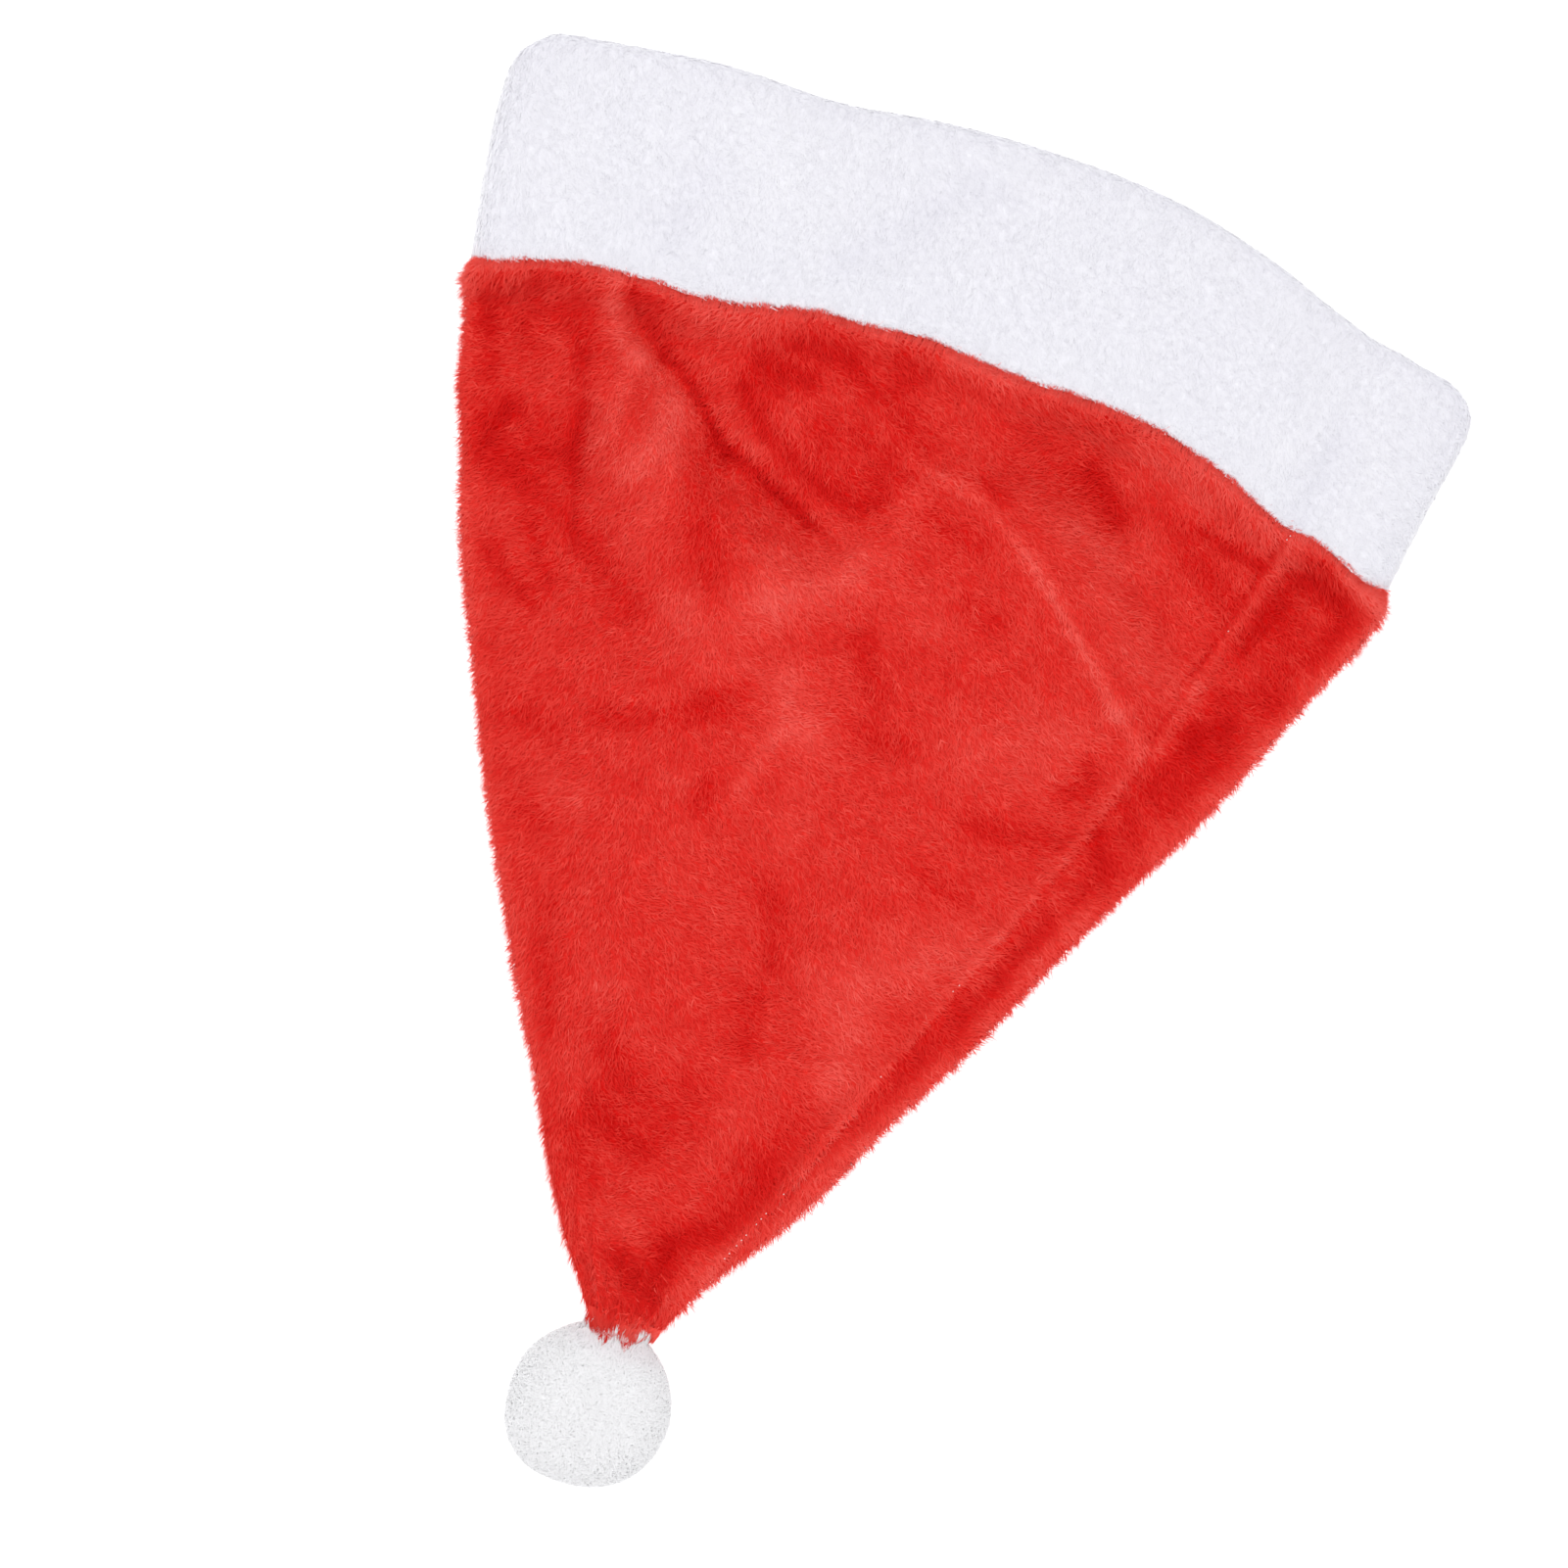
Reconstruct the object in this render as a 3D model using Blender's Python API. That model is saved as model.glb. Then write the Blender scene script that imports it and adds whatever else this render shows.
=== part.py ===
"""A soft plush santa hat lying flat: crown, doubled band and pompom.

Metres, +Z up. The hat lies on z = 0 with its tip towards -Y and its mouth towards +Y.
"""

import math
import random
from collections import namedtuple

import bmesh
import bpy
from mathutils import Vector

# Overall sizes of the hat as it lies.
BRIM_WIDTH = 0.2984
CROWN_LENGTH = 0.2948
BAND_HEIGHT = 0.0620
SEAM_DROP = 0.0260
MOUTH_DROP = 0.0297
MOUTH_CORNER = 0.0098

# Cloth, and how it is sewn together.
CLOTH_WALL = 0.0030
BAND_PLY = 0.0030
HEM_DEPTH = 0.0080
CLEARANCE = 0.0003
TUCK_LENGTH = 0.0130

# How high each part stands, and how it turns over at the sides.
CROWN_LOFT = 0.0240
BAND_LOFT = 0.0290
CROWN_EDGE_HEIGHT = 0.0120
BAND_EDGE_HEIGHT = 0.0240
NECK_EDGE_WIDTH = 0.0055
BRIM_EDGE_WIDTH = 0.0115
TOP_ROUNDING = 2.6

# The gathered tip.
NECK_WIDTH = 0.0258
NECK_OFFSET = 0.0036
NECK_LIFT = 0.0060
GATHER_LENGTH = 0.0550
NECK_SIDE_SHARE = 0.22
PLEATS = 9
PLEAT_DEPTH = 0.0022

# The sewn side seam. Across is a share of the way from the middle to the side fold.
SEAM_ACROSS = 0.84
SEAM_GROOVE_WIDTH = 0.0050
SEAM_GROOVE_DEPTH = 0.0016

# The pompom.
POMPOM_WIDTH = 0.0476
POMPOM_LENGTH = 0.0498
POMPOM_HEIGHT = 0.0440
POMPOM_REST = 0.0016
POMPOM_OFFSET = 0.0020
POMPOM_SEAT = 0.0120
LOCK_DEPTH = 0.0034
LOCK_SPREAD = 0.0011
LOCK_UNEVENNESS = 0.0012
LOCK_WANDER = 0.0011
LOCK_SEED = 7

# How finely the cloth is divided. Rows crowd towards the band, and no other column lies as near
# to the side seam as this share of the columns' spacing.
CROWN_ROWS = 32
ROW_CROWDING = 1.25
BAND_ROWS = 5
BAND_TURNS = 4
TOP_COLUMNS = 32
SEAM_FREE_COLUMNS = 0.75
UNDER_COLUMNS = 7
EDGE_STEPS = 4
LOCK_ROUNDS = 3

# Colours, as shares of full light, and how dull the pile is.
RED = (0.62, 0.022, 0.018)
BAND_WHITE = (0.82, 0.82, 0.85)
POMPOM_WHITE = (0.84, 0.84, 0.86)
PILE_ROUGHNESS = 0.95

# Sizes that follow from those above.
BODY_LENGTH = CROWN_LENGTH + BAND_HEIGHT
BAND_WALL = 2 * BAND_PLY + CLOTH_WALL + 2 * CLEARANCE
POMPOM_RADII = Vector((POMPOM_WIDTH, POMPOM_LENGTH, POMPOM_HEIGHT)) / 2
SEAT_TO_CENTRE = POMPOM_RADII.y * math.sqrt(1 - (POMPOM_SEAT / POMPOM_WIDTH) ** 2)
HAT_LENGTH = BODY_LENGTH + CLEARANCE + SEAT_TO_CENTRE + POMPOM_RADII.y
MOUTH_Y = HAT_LENGTH / 2
BAND_SEAM_Y = MOUTH_Y - BAND_HEIGHT
NECK_Y = MOUTH_Y - BODY_LENGTH

# One row for each place along the hat. Along is a share of BODY_LENGTH from the neck, left and
# right are shares of the spread from the neck's side to the brim's, height is a share of
# CROWN_LOFT and lift a share of NECK_LIFT.
Place = namedtuple("Place", "along left right height lift")
PLACES = (
    Place(0.00, 0.000, 0.000, 0.86, 1.00),
    Place(0.03, 0.056, 0.050, 0.78, 0.72),
    Place(0.06, 0.108, 0.090, 0.74, 0.38),
    Place(0.10, 0.173, 0.158, 0.74, 0.10),
    Place(0.14, 0.231, 0.221, 0.77, 0.00),
    Place(0.22, 0.352, 0.322, 0.84, 0.00),
    Place(0.29, 0.451, 0.424, 0.90, 0.00),
    Place(0.37, 0.561, 0.521, 0.95, 0.00),
    Place(0.45, 0.657, 0.625, 1.00, 0.00),
    Place(0.53, 0.751, 0.728, 1.00, 0.00),
    Place(0.61, 0.820, 0.820, 0.97, 0.00),
    Place(0.69, 0.898, 0.918, 0.96, 0.00),
    Place(0.77, 0.946, 0.949, 0.95, 0.00),
    Place(0.84, 0.981, 0.975, 0.95, 0.00),
    Place(0.90, 1.000, 1.000, 0.95, 0.00),
    Place(1.00, 1.000, 1.000, 0.95, 0.00),
)

# The two long edges of the band. Across runs from -1 at the left side to 1 at the right, seam
# is a share of SEAM_DROP below the highest point of the sewn edge, and mouth a share of
# MOUTH_DROP below the highest point of the folded edge.
Edge = namedtuple("Edge", "across seam mouth")
EDGES = (
    Edge(-1.00, 1.00, 0.56),
    Edge(-0.80, 0.55, 0.40),
    Edge(-0.58, 0.42, 0.25),
    Edge(-0.36, 0.21, 0.24),
    Edge(-0.22, 0.11, 0.12),
    Edge(-0.05, 0.02, 0.03),
    Edge(0.13, 0.05, 0.00),
    Edge(0.24, 0.03, 0.02),
    Edge(0.38, 0.06, 0.11),
    Edge(0.55, 0.27, 0.33),
    Edge(0.68, 0.54, 0.56),
    Edge(0.85, 0.73, 0.76),
    Edge(1.00, 0.95, 0.82),
)

# Each fold runs on a curve from one end through its middle to the other end. Across is a share
# of half the brim's width from the hat's middle, along a share of BODY_LENGTH from the neck,
# rise a share of the part's loft, below 0 for a valley, and width a share of BRIM_WIDTH.
Fold = namedtuple(
    "Fold", "across_1 along_1 across_2 along_2 across_3 along_3 rise width"
)
CROWN_FOLDS = (
    # The long crease from the band towards the middle, and the ridge beside it.
    Fold(-0.62, 0.780, -0.34, 0.692, -0.02, 0.640, -0.24, 0.030),
    Fold(-0.70, 0.735, -0.42, 0.645, -0.10, 0.595, 0.14, 0.034),
    # The curved ridge on the right, and the hollow above it.
    Fold(0.00, 0.728, 0.33, 0.685, 0.55, 0.585, 0.17, 0.028),
    Fold(0.10, 0.775, 0.44, 0.725, 0.66, 0.625, -0.15, 0.034),
    # The valley down the left side and the ridge beside it.
    Fold(-0.66, 0.725, -0.57, 0.600, -0.30, 0.510, -0.15, 0.030),
    Fold(-0.56, 0.710, -0.45, 0.610, -0.22, 0.540, 0.10, 0.034),
    # Dents below the band.
    Fold(-0.82, 0.760, -0.78, 0.735, -0.76, 0.700, -0.14, 0.040),
    Fold(0.26, 0.800, 0.36, 0.757, 0.45, 0.715, -0.13, 0.034),
    Fold(0.68, 0.770, 0.72, 0.745, 0.78, 0.730, -0.12, 0.030),
    # Soft swells and hollows of the lower half.
    Fold(-0.30, 0.600, -0.20, 0.585, -0.10, 0.560, 0.09, 0.050),
    Fold(-0.04, 0.440, 0.08, 0.425, 0.20, 0.430, -0.11, 0.045),
    Fold(-0.08, 0.350, 0.00, 0.325, 0.06, 0.290, -0.10, 0.045),
    Fold(-0.20, 0.250, -0.13, 0.225, -0.10, 0.190, 0.09, 0.050),
)
BAND_FOLDS = (
    Fold(-0.58, 0.815, -0.57, 0.860, -0.54, 0.905, -0.05, 0.036),
    Fold(-0.26, 0.850, -0.15, 0.905, -0.05, 0.955, -0.07, 0.034),
    Fold(0.72, 0.780, 0.75, 0.830, 0.78, 0.880, -0.07, 0.032),
    Fold(0.20, 0.870, 0.30, 0.900, 0.42, 0.905, 0.04, 0.050),
)

# A fold's curve is followed in this many steps. Its height fades over a share of its length at
# either end, down to a share of the full height, and it ends this many widths to the side.
FOLD_STEPS = 8
FOLD_FADE = 0.25
FOLD_END_HEIGHT = 0.3
FOLD_REACH = 4

# A station is one lengthwise line of the cloth. At is the angle on a side fold, and on the top
# and the underside it is the share of the way across. Aside is a small step sideways from it.
Station = namedtuple("Station", "part at aside")


def blend(low, high, share):
    return low + (high - low) * share


def ease(share):
    share = min(max(share, 0), 1)
    return share * share * (3 - 2 * share)


def read(rows, key, column, at):
    """A column's value between two rows of a table, on a smooth curve through the rows."""
    keys = [getattr(row, key) for row in rows]
    values = [getattr(row, column) for row in rows]
    at = min(max(at, keys[0]), keys[-1])
    low = max(index for index in range(len(keys) - 1) if keys[index] <= at)

    def slope(index):
        before = max(index - 1, 0)
        after = min(index + 1, len(keys) - 1)
        return (values[after] - values[before]) / (keys[after] - keys[before])

    span = keys[low + 1] - keys[low]
    share = (at - keys[low]) / span
    curve = blend(values[low], values[low + 1], share * share * (3 - 2 * share))
    leave = slope(low) * span * share * (1 - share) ** 2
    arrive = slope(low + 1) * span * share * share * (1 - share)
    return curve + leave - arrive


def sides(y):
    """The left and right edge of the hat at this place along it."""
    along = (y - NECK_Y) / BODY_LENGTH
    left = blend(
        NECK_OFFSET - NECK_WIDTH / 2, -BRIM_WIDTH / 2, read(PLACES, "along", "left", along)
    )
    right = blend(
        NECK_OFFSET + NECK_WIDTH / 2, BRIM_WIDTH / 2, read(PLACES, "along", "right", along)
    )
    return left, right


def seam_y(across):
    return BAND_SEAM_Y - SEAM_DROP * read(EDGES, "across", "seam", across)


def mouth_y(across):
    """The folded edge of the band, rounded off at both corners."""
    from_side = (1 - abs(across)) * BRIM_WIDTH / 2
    short_of_corner = max(MOUTH_CORNER - from_side, 0)
    rounding = MOUTH_CORNER - math.sqrt(MOUTH_CORNER**2 - short_of_corner**2)
    return MOUTH_Y - MOUTH_DROP * read(EDGES, "across", "mouth", across) - rounding


def fold_path(fold):
    """Points on the smooth curve through a fold's ends and middle."""
    first, middle, last = (
        Vector((across * BRIM_WIDTH / 2, NECK_Y + along * BODY_LENGTH))
        for across, along in (
            (fold.across_1, fold.along_1),
            (fold.across_2, fold.along_2),
            (fold.across_3, fold.along_3),
        )
    )
    pull = 2 * middle - (first + last) / 2
    steps = [step / FOLD_STEPS for step in range(FOLD_STEPS + 1)]
    return [first * (1 - t) ** 2 + pull * 2 * t * (1 - t) + last * t * t for t in steps]


def folds_rise(paths, loft, x, y):
    """How far the folds lift the cloth at a point, or lower it."""
    total = 0
    here = Vector((x, y))
    for fold, path in paths:
        width = fold.width * BRIM_WIDTH
        nearest, along = min(
            ((here - point).length, step / FOLD_STEPS) for step, point in enumerate(path)
        )
        if nearest > FOLD_REACH * width:
            continue
        for start, end in zip(path, path[1:]):
            run = end - start
            share = min(max((here - start).dot(run) / run.length_squared, 0), 1)
            nearest = min(nearest, (here - start - run * share).length)
        from_start = ease(along / FOLD_FADE + FOLD_END_HEIGHT)
        from_end = ease((1 - along) / FOLD_FADE + FOLD_END_HEIGHT)
        profile = math.exp(-((nearest / width) ** 2))
        total += fold.rise * loft * from_start * from_end * profile
    return total


CROWN_PATHS = [(fold, fold_path(fold)) for fold in CROWN_FOLDS]
BAND_PATHS = [(fold, fold_path(fold)) for fold in BAND_FOLDS]


def ring_stations():
    """The stations once round the hat: left side, top, right side and underside."""
    turn = [math.pi * (step / EDGE_STEPS - 0.5) for step in range(EDGE_STEPS + 1)]
    apart = 2 / (TOP_COLUMNS + 1)
    spread = [(step + 1) * apart - 1 for step in range(TOP_COLUMNS)]
    beside_seam = SEAM_FREE_COLUMNS * apart
    top = [Station("top", at, 0) for at in spread if abs(at - SEAM_ACROSS) > beside_seam]
    for aside in (-SEAM_GROOVE_WIDTH / 2, 0, SEAM_GROOVE_WIDTH / 2):
        top.append(Station("top", SEAM_ACROSS, aside))
    top.sort(key=lambda station: (station.at, station.aside))
    under = [1 - 2 * (step + 1) / (UNDER_COLUMNS + 1) for step in range(UNDER_COLUMNS)]
    return (
        [Station("left", angle, 0) for angle in turn]
        + top
        + [Station("right", angle, 0) for angle in reversed(turn)]
        + [Station("under", at, 0) for at in under]
    )


def across_of(station):
    """Where a station lies between the hat's sides, from -1 to 1, at the brim."""
    edge = 2 * BRIM_EDGE_WIDTH / BRIM_WIDTH
    if station.part == "left":
        return -1 + edge * (1 - math.cos(station.at))
    if station.part == "right":
        return 1 - edge * (1 - math.cos(station.at))
    return station.at * (1 - edge)


def pleat(station, gathered):
    """How far the gathers draw the top of the cloth in."""
    if station.part != "top":
        return 0
    wave = 0.5 - 0.5 * math.cos(math.pi * PLEATS * (station.at + 1))
    return PLEAT_DEPTH * gathered * wave


def skin_point(station, y, tuck, inset):
    """A point of the hat's skin, or of a surface this far inside it. Tuck is 0 on the crown's
    own form, and 1 on the band's."""
    left, right = sides(y)
    middle = (left + right) / 2
    half = (right - left) / 2
    along = (y - NECK_Y) / BODY_LENGTH
    spread = (half - NECK_WIDTH / 2) / (BRIM_WIDTH / 2 - NECK_WIDTH / 2)
    loft = blend(CROWN_LOFT * read(PLACES, "along", "height", along), BAND_LOFT, tuck)
    lift = NECK_LIFT * read(PLACES, "along", "lift", along)
    edge_x = blend(NECK_EDGE_WIDTH, BRIM_EDGE_WIDTH, spread)
    edge_z = blend(CROWN_EDGE_HEIGHT, BAND_EDGE_HEIGHT, tuck) / 2
    gathered = ease(1 - (y - NECK_Y) / GATHER_LENGTH)
    quarter = math.pi / 2

    outward = -1 if station.part == "left" else 1
    if station.part in ("left", "right"):
        x = middle + outward * (half - edge_x + (edge_x - inset) * math.cos(station.at))
        z = lift + edge_z + (edge_z - inset) * math.sin(station.at)
        turn = station.at * NECK_SIDE_SHARE
    elif station.part == "under":
        x = middle + station.at * (half - edge_x)
        z = lift + inset
        turn = -quarter + station.at * quarter * (1 - NECK_SIDE_SHARE)
    else:
        x = middle + station.at * (half - edge_x) + station.aside
        arch = 1 - abs(station.at) ** TOP_ROUNDING
        on_seam = station.at == SEAM_ACROSS and station.aside == 0
        folds = blend(
            folds_rise(CROWN_PATHS, CROWN_LOFT, x, y) - SEAM_GROOVE_DEPTH * on_seam,
            folds_rise(BAND_PATHS, BAND_LOFT, x, y),
            tuck,
        )
        rise = folds * (1 - gathered)
        z = lift + 2 * edge_z + (loft - 2 * edge_z) * arch + rise - inset
        turn = quarter - station.at * quarter * (1 - NECK_SIDE_SHARE)
    if gathered > 0:
        drawn = inset + pleat(station, gathered)
        round_x = middle + outward * (half - drawn) * math.cos(turn)
        round_z = lift + loft / 2 + (loft / 2 - drawn) * math.sin(turn)
        x = blend(x, round_x, gathered)
        z = blend(z, round_z, gathered)
    return Vector((x, y, z))


def crown_ring(stations, share, inset, past):
    """A ring of the crown. Share runs from 0 at the neck to 1 at the band's seam, and past is
    a step beyond that place."""
    ring = []
    for station in stations:
        seam = seam_y(across_of(station))
        y = blend(NECK_Y, seam, share) + past
        tuck = ease(1 - (seam - y) / TUCK_LENGTH)
        hem = (BAND_PLY + CLEARANCE) * tuck
        ring.append(skin_point(station, y, tuck, inset + hem))
    return ring


def band_ring(stations, share, inset, past):
    """A ring of the band. Share runs from 0 at the seam to 1 where the mouth's fold begins."""
    ring = []
    for station in stations:
        across = across_of(station)
        y = blend(seam_y(across), mouth_y(across) - BAND_WALL / 2, share) + past
        ring.append(skin_point(station, y, 1, inset))
    return ring


def loft(name, rings, ring_shaped, material):
    """A closed body through rings of points, capped at both ends unless it is ring shaped."""
    bm = bmesh.new()
    loops = [[bm.verts.new(point) for point in ring] for ring in rings]
    following = loops[1:] + loops[:1] if ring_shaped else loops[1:]
    for near, far in zip(loops, following):
        for i in range(len(near)):
            bm.faces.new((near[i - 1], near[i], far[i]))
            bm.faces.new((near[i - 1], far[i], far[i - 1]))
    if not ring_shaped:
        bm.faces.new(loops[0])
        bm.faces.new(loops[-1])
    return finish(name, bm, material)


def finish(name, bm, material):
    bmesh.ops.recalc_face_normals(bm, faces=bm.faces)
    mesh = bpy.data.meshes.new(name)
    bm.to_mesh(mesh)
    bm.free()
    mesh.shade_smooth()
    mesh.materials.append(material)
    piece = bpy.data.objects.new(name, mesh)
    bpy.context.collection.objects.link(piece)
    return piece


def plush(name, colour):
    material = bpy.data.materials.new(name)
    material.use_nodes = True
    shader = material.node_tree.nodes["Principled BSDF"]
    shader.inputs["Base Color"].default_value = (*colour, 1)
    shader.inputs["Roughness"].default_value = PILE_ROUGHNESS
    return material


def make_crown(stations):
    """The cone of cloth: outer skin from neck to hem, then the inner skin back."""
    evenly = [row / CROWN_ROWS for row in range(CROWN_ROWS + 1)]
    shares = [1 - (1 - even) ** ROW_CROWDING for even in evenly]
    shares.insert(1, shares[1] / 2)
    outer = [crown_ring(stations, share, 0, 0) for share in shares]
    outer.append(crown_ring(stations, 1, 0, HEM_DEPTH))
    inner = [crown_ring(stations, 1, CLOTH_WALL, HEM_DEPTH)]
    inner += [crown_ring(stations, share, CLOTH_WALL, 0) for share in reversed(shares[1:])]
    inner.append(crown_ring(stations, 0, CLOTH_WALL, CLOTH_WALL))
    return loft("crown", outer + inner, False, plush("red plush", RED))


def make_band(stations):
    """The doubled strip: the hem's slot, the inner ply, the fold at the mouth, the outer ply.

    The rings run the same way as the crown's, so that facets which face each other across the
    slot lie parallel."""
    slot = HEM_DEPTH + CLEARANCE
    slot_inset = BAND_WALL - BAND_PLY
    rings = [
        band_ring(stations, 0, BAND_PLY, 0),
        band_ring(stations, 0, BAND_PLY, slot),
        band_ring(stations, 0, slot_inset, slot),
        band_ring(stations, 0, slot_inset, 0),
    ]
    shares = [row / BAND_ROWS for row in range(BAND_ROWS + 1)]
    rings += [band_ring(stations, share, BAND_WALL, 0) for share in shares]
    for turn in range(BAND_TURNS - 1, 0, -1):
        angle = math.pi * turn / BAND_TURNS
        inset = BAND_WALL / 2 * (1 - math.cos(angle))
        rings.append(band_ring(stations, 1, inset, BAND_WALL / 2 * math.sin(angle)))
    rings += [band_ring(stations, share, 0, 0) for share in reversed(shares)]
    return loft("band", rings, True, plush("white plush", BAND_WHITE))


def make_pompom():
    """A ball of short locks, pressed flat on the floor and against the crown's neck."""
    bm = bmesh.new()
    bmesh.ops.create_icosphere(bm, subdivisions=LOCK_ROUNDS, radius=POMPOM_WIDTH / 2)
    wander = random.Random(LOCK_SEED)
    for root in bm.verts:
        for axis in range(3):
            root.co[axis] += wander.uniform(-LOCK_WANDER, LOCK_WANDER)
    locks = list(bm.faces)
    bmesh.ops.inset_individual(bm, faces=locks, thickness=LOCK_SPREAD, depth=0)
    cuts = {}
    for lock in locks:
        shorter = wander.uniform(0, LOCK_UNEVENNESS)
        for corner in lock.verts:
            cuts[corner] = shorter
    seat = NECK_Y - CLEARANCE
    centre = Vector((POMPOM_OFFSET, seat - SEAT_TO_CENTRE, POMPOM_RADII.z - POMPOM_REST))
    for corner in bm.verts:
        outward = corner.co.normalized()
        cut = cuts.get(corner, LOCK_DEPTH)
        corner.co = centre + outward * POMPOM_RADII - outward * cut
        corner.co.y = min(corner.co.y, seat)
        corner.co.z = max(corner.co.z, 0)
    return finish("pompom", bm, plush("pompom plush", POMPOM_WHITE))


for old in list(bpy.data.objects):
    bpy.data.objects.remove(old, do_unlink=True)

lines_of_cloth = ring_stations()
make_crown(lines_of_cloth)
make_band(lines_of_cloth)
make_pompom()
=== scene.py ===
# Santa hat lying flat: plush crown, doubled band and pompom with their pile, in a pale studio
import math

import bpy
import numpy as np
from mathutils.bvhtree import BVHTree
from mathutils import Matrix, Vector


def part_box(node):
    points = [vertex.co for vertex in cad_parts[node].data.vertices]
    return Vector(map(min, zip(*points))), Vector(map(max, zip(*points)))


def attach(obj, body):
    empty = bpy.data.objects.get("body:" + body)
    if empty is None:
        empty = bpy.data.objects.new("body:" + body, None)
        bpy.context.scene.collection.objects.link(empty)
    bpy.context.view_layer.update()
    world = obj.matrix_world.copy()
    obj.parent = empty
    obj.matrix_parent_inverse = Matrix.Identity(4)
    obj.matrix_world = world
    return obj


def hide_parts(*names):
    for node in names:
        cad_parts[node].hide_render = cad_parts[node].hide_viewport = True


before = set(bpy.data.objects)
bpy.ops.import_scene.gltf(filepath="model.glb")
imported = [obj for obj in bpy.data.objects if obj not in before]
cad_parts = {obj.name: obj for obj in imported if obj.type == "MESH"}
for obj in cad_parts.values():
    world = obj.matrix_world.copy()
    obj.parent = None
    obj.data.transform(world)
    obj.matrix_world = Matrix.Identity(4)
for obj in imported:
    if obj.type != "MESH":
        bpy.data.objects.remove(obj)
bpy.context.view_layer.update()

mm = 0.001
pileShare = 1.0  # fewer fibres while other things are tried out
widthSpread = (0.8, 1.15)  # how much single fibres differ from the width and length given
lengthSpread = (0.75, 1.15)
underneath = -0.6  # cloth whose normal points lower than this lies on the floor
floorGap = 0.2 * mm


# Small helpers for arrays of points

def unit(vectors):
    lengths = np.linalg.norm(vectors, axis=-1, keepdims=True)
    return vectors / np.maximum(lengths, 1e-12)


def ease(share):
    share = np.clip(share, 0, 1)
    return share * share * (3 - 2 * share)


def softNoise(points, wavelength, seed, waves=16):
    # a smooth random field of about -1 to 1, from plane waves that run in many directions
    draw = np.random.default_rng(seed)
    ways = unit(draw.normal(size=(waves, 3))) * 2 * math.pi / wavelength
    ways *= draw.uniform(0.7, 1.4, (waves, 1))
    phases = draw.uniform(0, 2 * math.pi, waves)
    total = np.zeros(len(points))
    for way, phase in zip(ways, phases):
        total += np.sin(points @ way + phase)
    return total / math.sqrt(waves / 2) / 1.6


def layeredNoise(points, layers, seed):
    # several random fields together, each with its wavelength and strength
    total = np.zeros(len(points))
    for step, (wavelength, strength) in enumerate(layers):
        total += strength * softNoise(points, wavelength, seed + step)
    return total


def distanceToPath(flat, path):
    # how far points of the plan lie from a path drawn in millimetres
    path = np.array(path, float) * mm
    nearest = np.linalg.norm(flat - path[0], axis=1)
    for start, end in zip(path, path[1:]):
        run = end - start
        share = np.clip((flat - start) @ run / (run @ run), 0, 1)
        nearest = np.minimum(nearest, np.linalg.norm(flat - start - share[:, None] * run, axis=1))
    return nearest


def readMarks(points, marks, toneStrength):
    # lift in metres and tone of all the marks together, at each point; the tone is painted light and shade
    lift = np.zeros(len(points))
    tone = np.zeros(len(points))
    for markLift, markWidth, markLightAndShade, *paths in marks:
        profile = sum(np.exp(-((distanceToPath(points[:, :2], path) / (markWidth * mm)) ** 2))
                      for path in paths)
        lift += markLift * mm * profile
        tone += toneStrength * markLightAndShade * profile
    return lift, tone


# Helpers for materials

def newMaterial(name):
    material = bpy.data.materials.new(name)
    material.use_nodes = True
    tree = material.node_tree
    return material, tree, tree.nodes["Principled BSDF"]


def setInputs(node, values):
    for name, value in values.items():
        node.inputs[name].default_value = value


def placedTexture(tree, kind, values):
    # a texture that lies still on its piece
    texture = tree.nodes.new(kind)
    setInputs(texture, values)
    place = tree.nodes.new("ShaderNodeTexCoord")
    tree.links.new(place.outputs["Object"], texture.inputs["Vector"])
    return texture


def colorRamp(tree, factor, stops):
    # a colour that follows a value from 0 to 1
    ramp = tree.nodes.new("ShaderNodeValToRGB")
    tree.links.new(factor, ramp.inputs["Fac"])
    elements = ramp.color_ramp.elements
    for element, (position, color) in zip(elements, (stops[0], stops[-1])):
        element.position = position
        element.color = (*color, 1)
    for position, color in stops[1:-1]:
        elements.new(position).color = (*color, 1)
    return ramp.outputs["Color"]


def toneColor(tree, finish):
    # the finish's colours by the tone from 0 to 1 that each point of a piece holds
    tone = tree.nodes.new("ShaderNodeAttribute")
    tone.attribute_name = "tone"
    return colorRamp(tree, tone.outputs["Fac"], finish["stops"])


def addBump(tree, shader, height, strength, distance):
    bump = tree.nodes.new("ShaderNodeBump")
    setInputs(bump, {"Strength": strength, "Distance": distance})
    tree.links.new(height, bump.inputs["Height"])
    tree.links.new(bump.outputs["Normal"], shader.inputs["Normal"])


# The studio: camera straight above, pale floor, soft light

studio = {
    "viewWidth": 0.448,  # metres of the hat that the picture is wide
    "viewMiddle": (-0.0045, 0.0065),
    "viewTurn": 19.5,  # degrees that the hat lies turned in the picture
    "cameraHeight": 2.6,
    "sharpHeight": 0.018,  # the height at which viewWidth holds
    "sensor": 36.0,
    "floorSize": 8.0,
    "floor": {
        "Base Color": (0.80, 0.80, 0.80, 1),
        "Roughness": 0.9,
        "Specular IOR Level": 0.0,
        "Emission Color": (1, 1, 1, 1),
        "Emission Strength": 0.62,
    },
    "sky": {"Color": (0.975, 0.98, 1.0, 1), "Strength": 0.80},
    # place, size and power; they point at the middle of the hat
    "lights": {
        "keySoftbox": ((-0.8, 0.5, 1.9), 1.2, 10.8),
        "fillSoftbox": ((0.9, -0.9, 1.7), 1.6, 8.8),
    },
}


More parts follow.
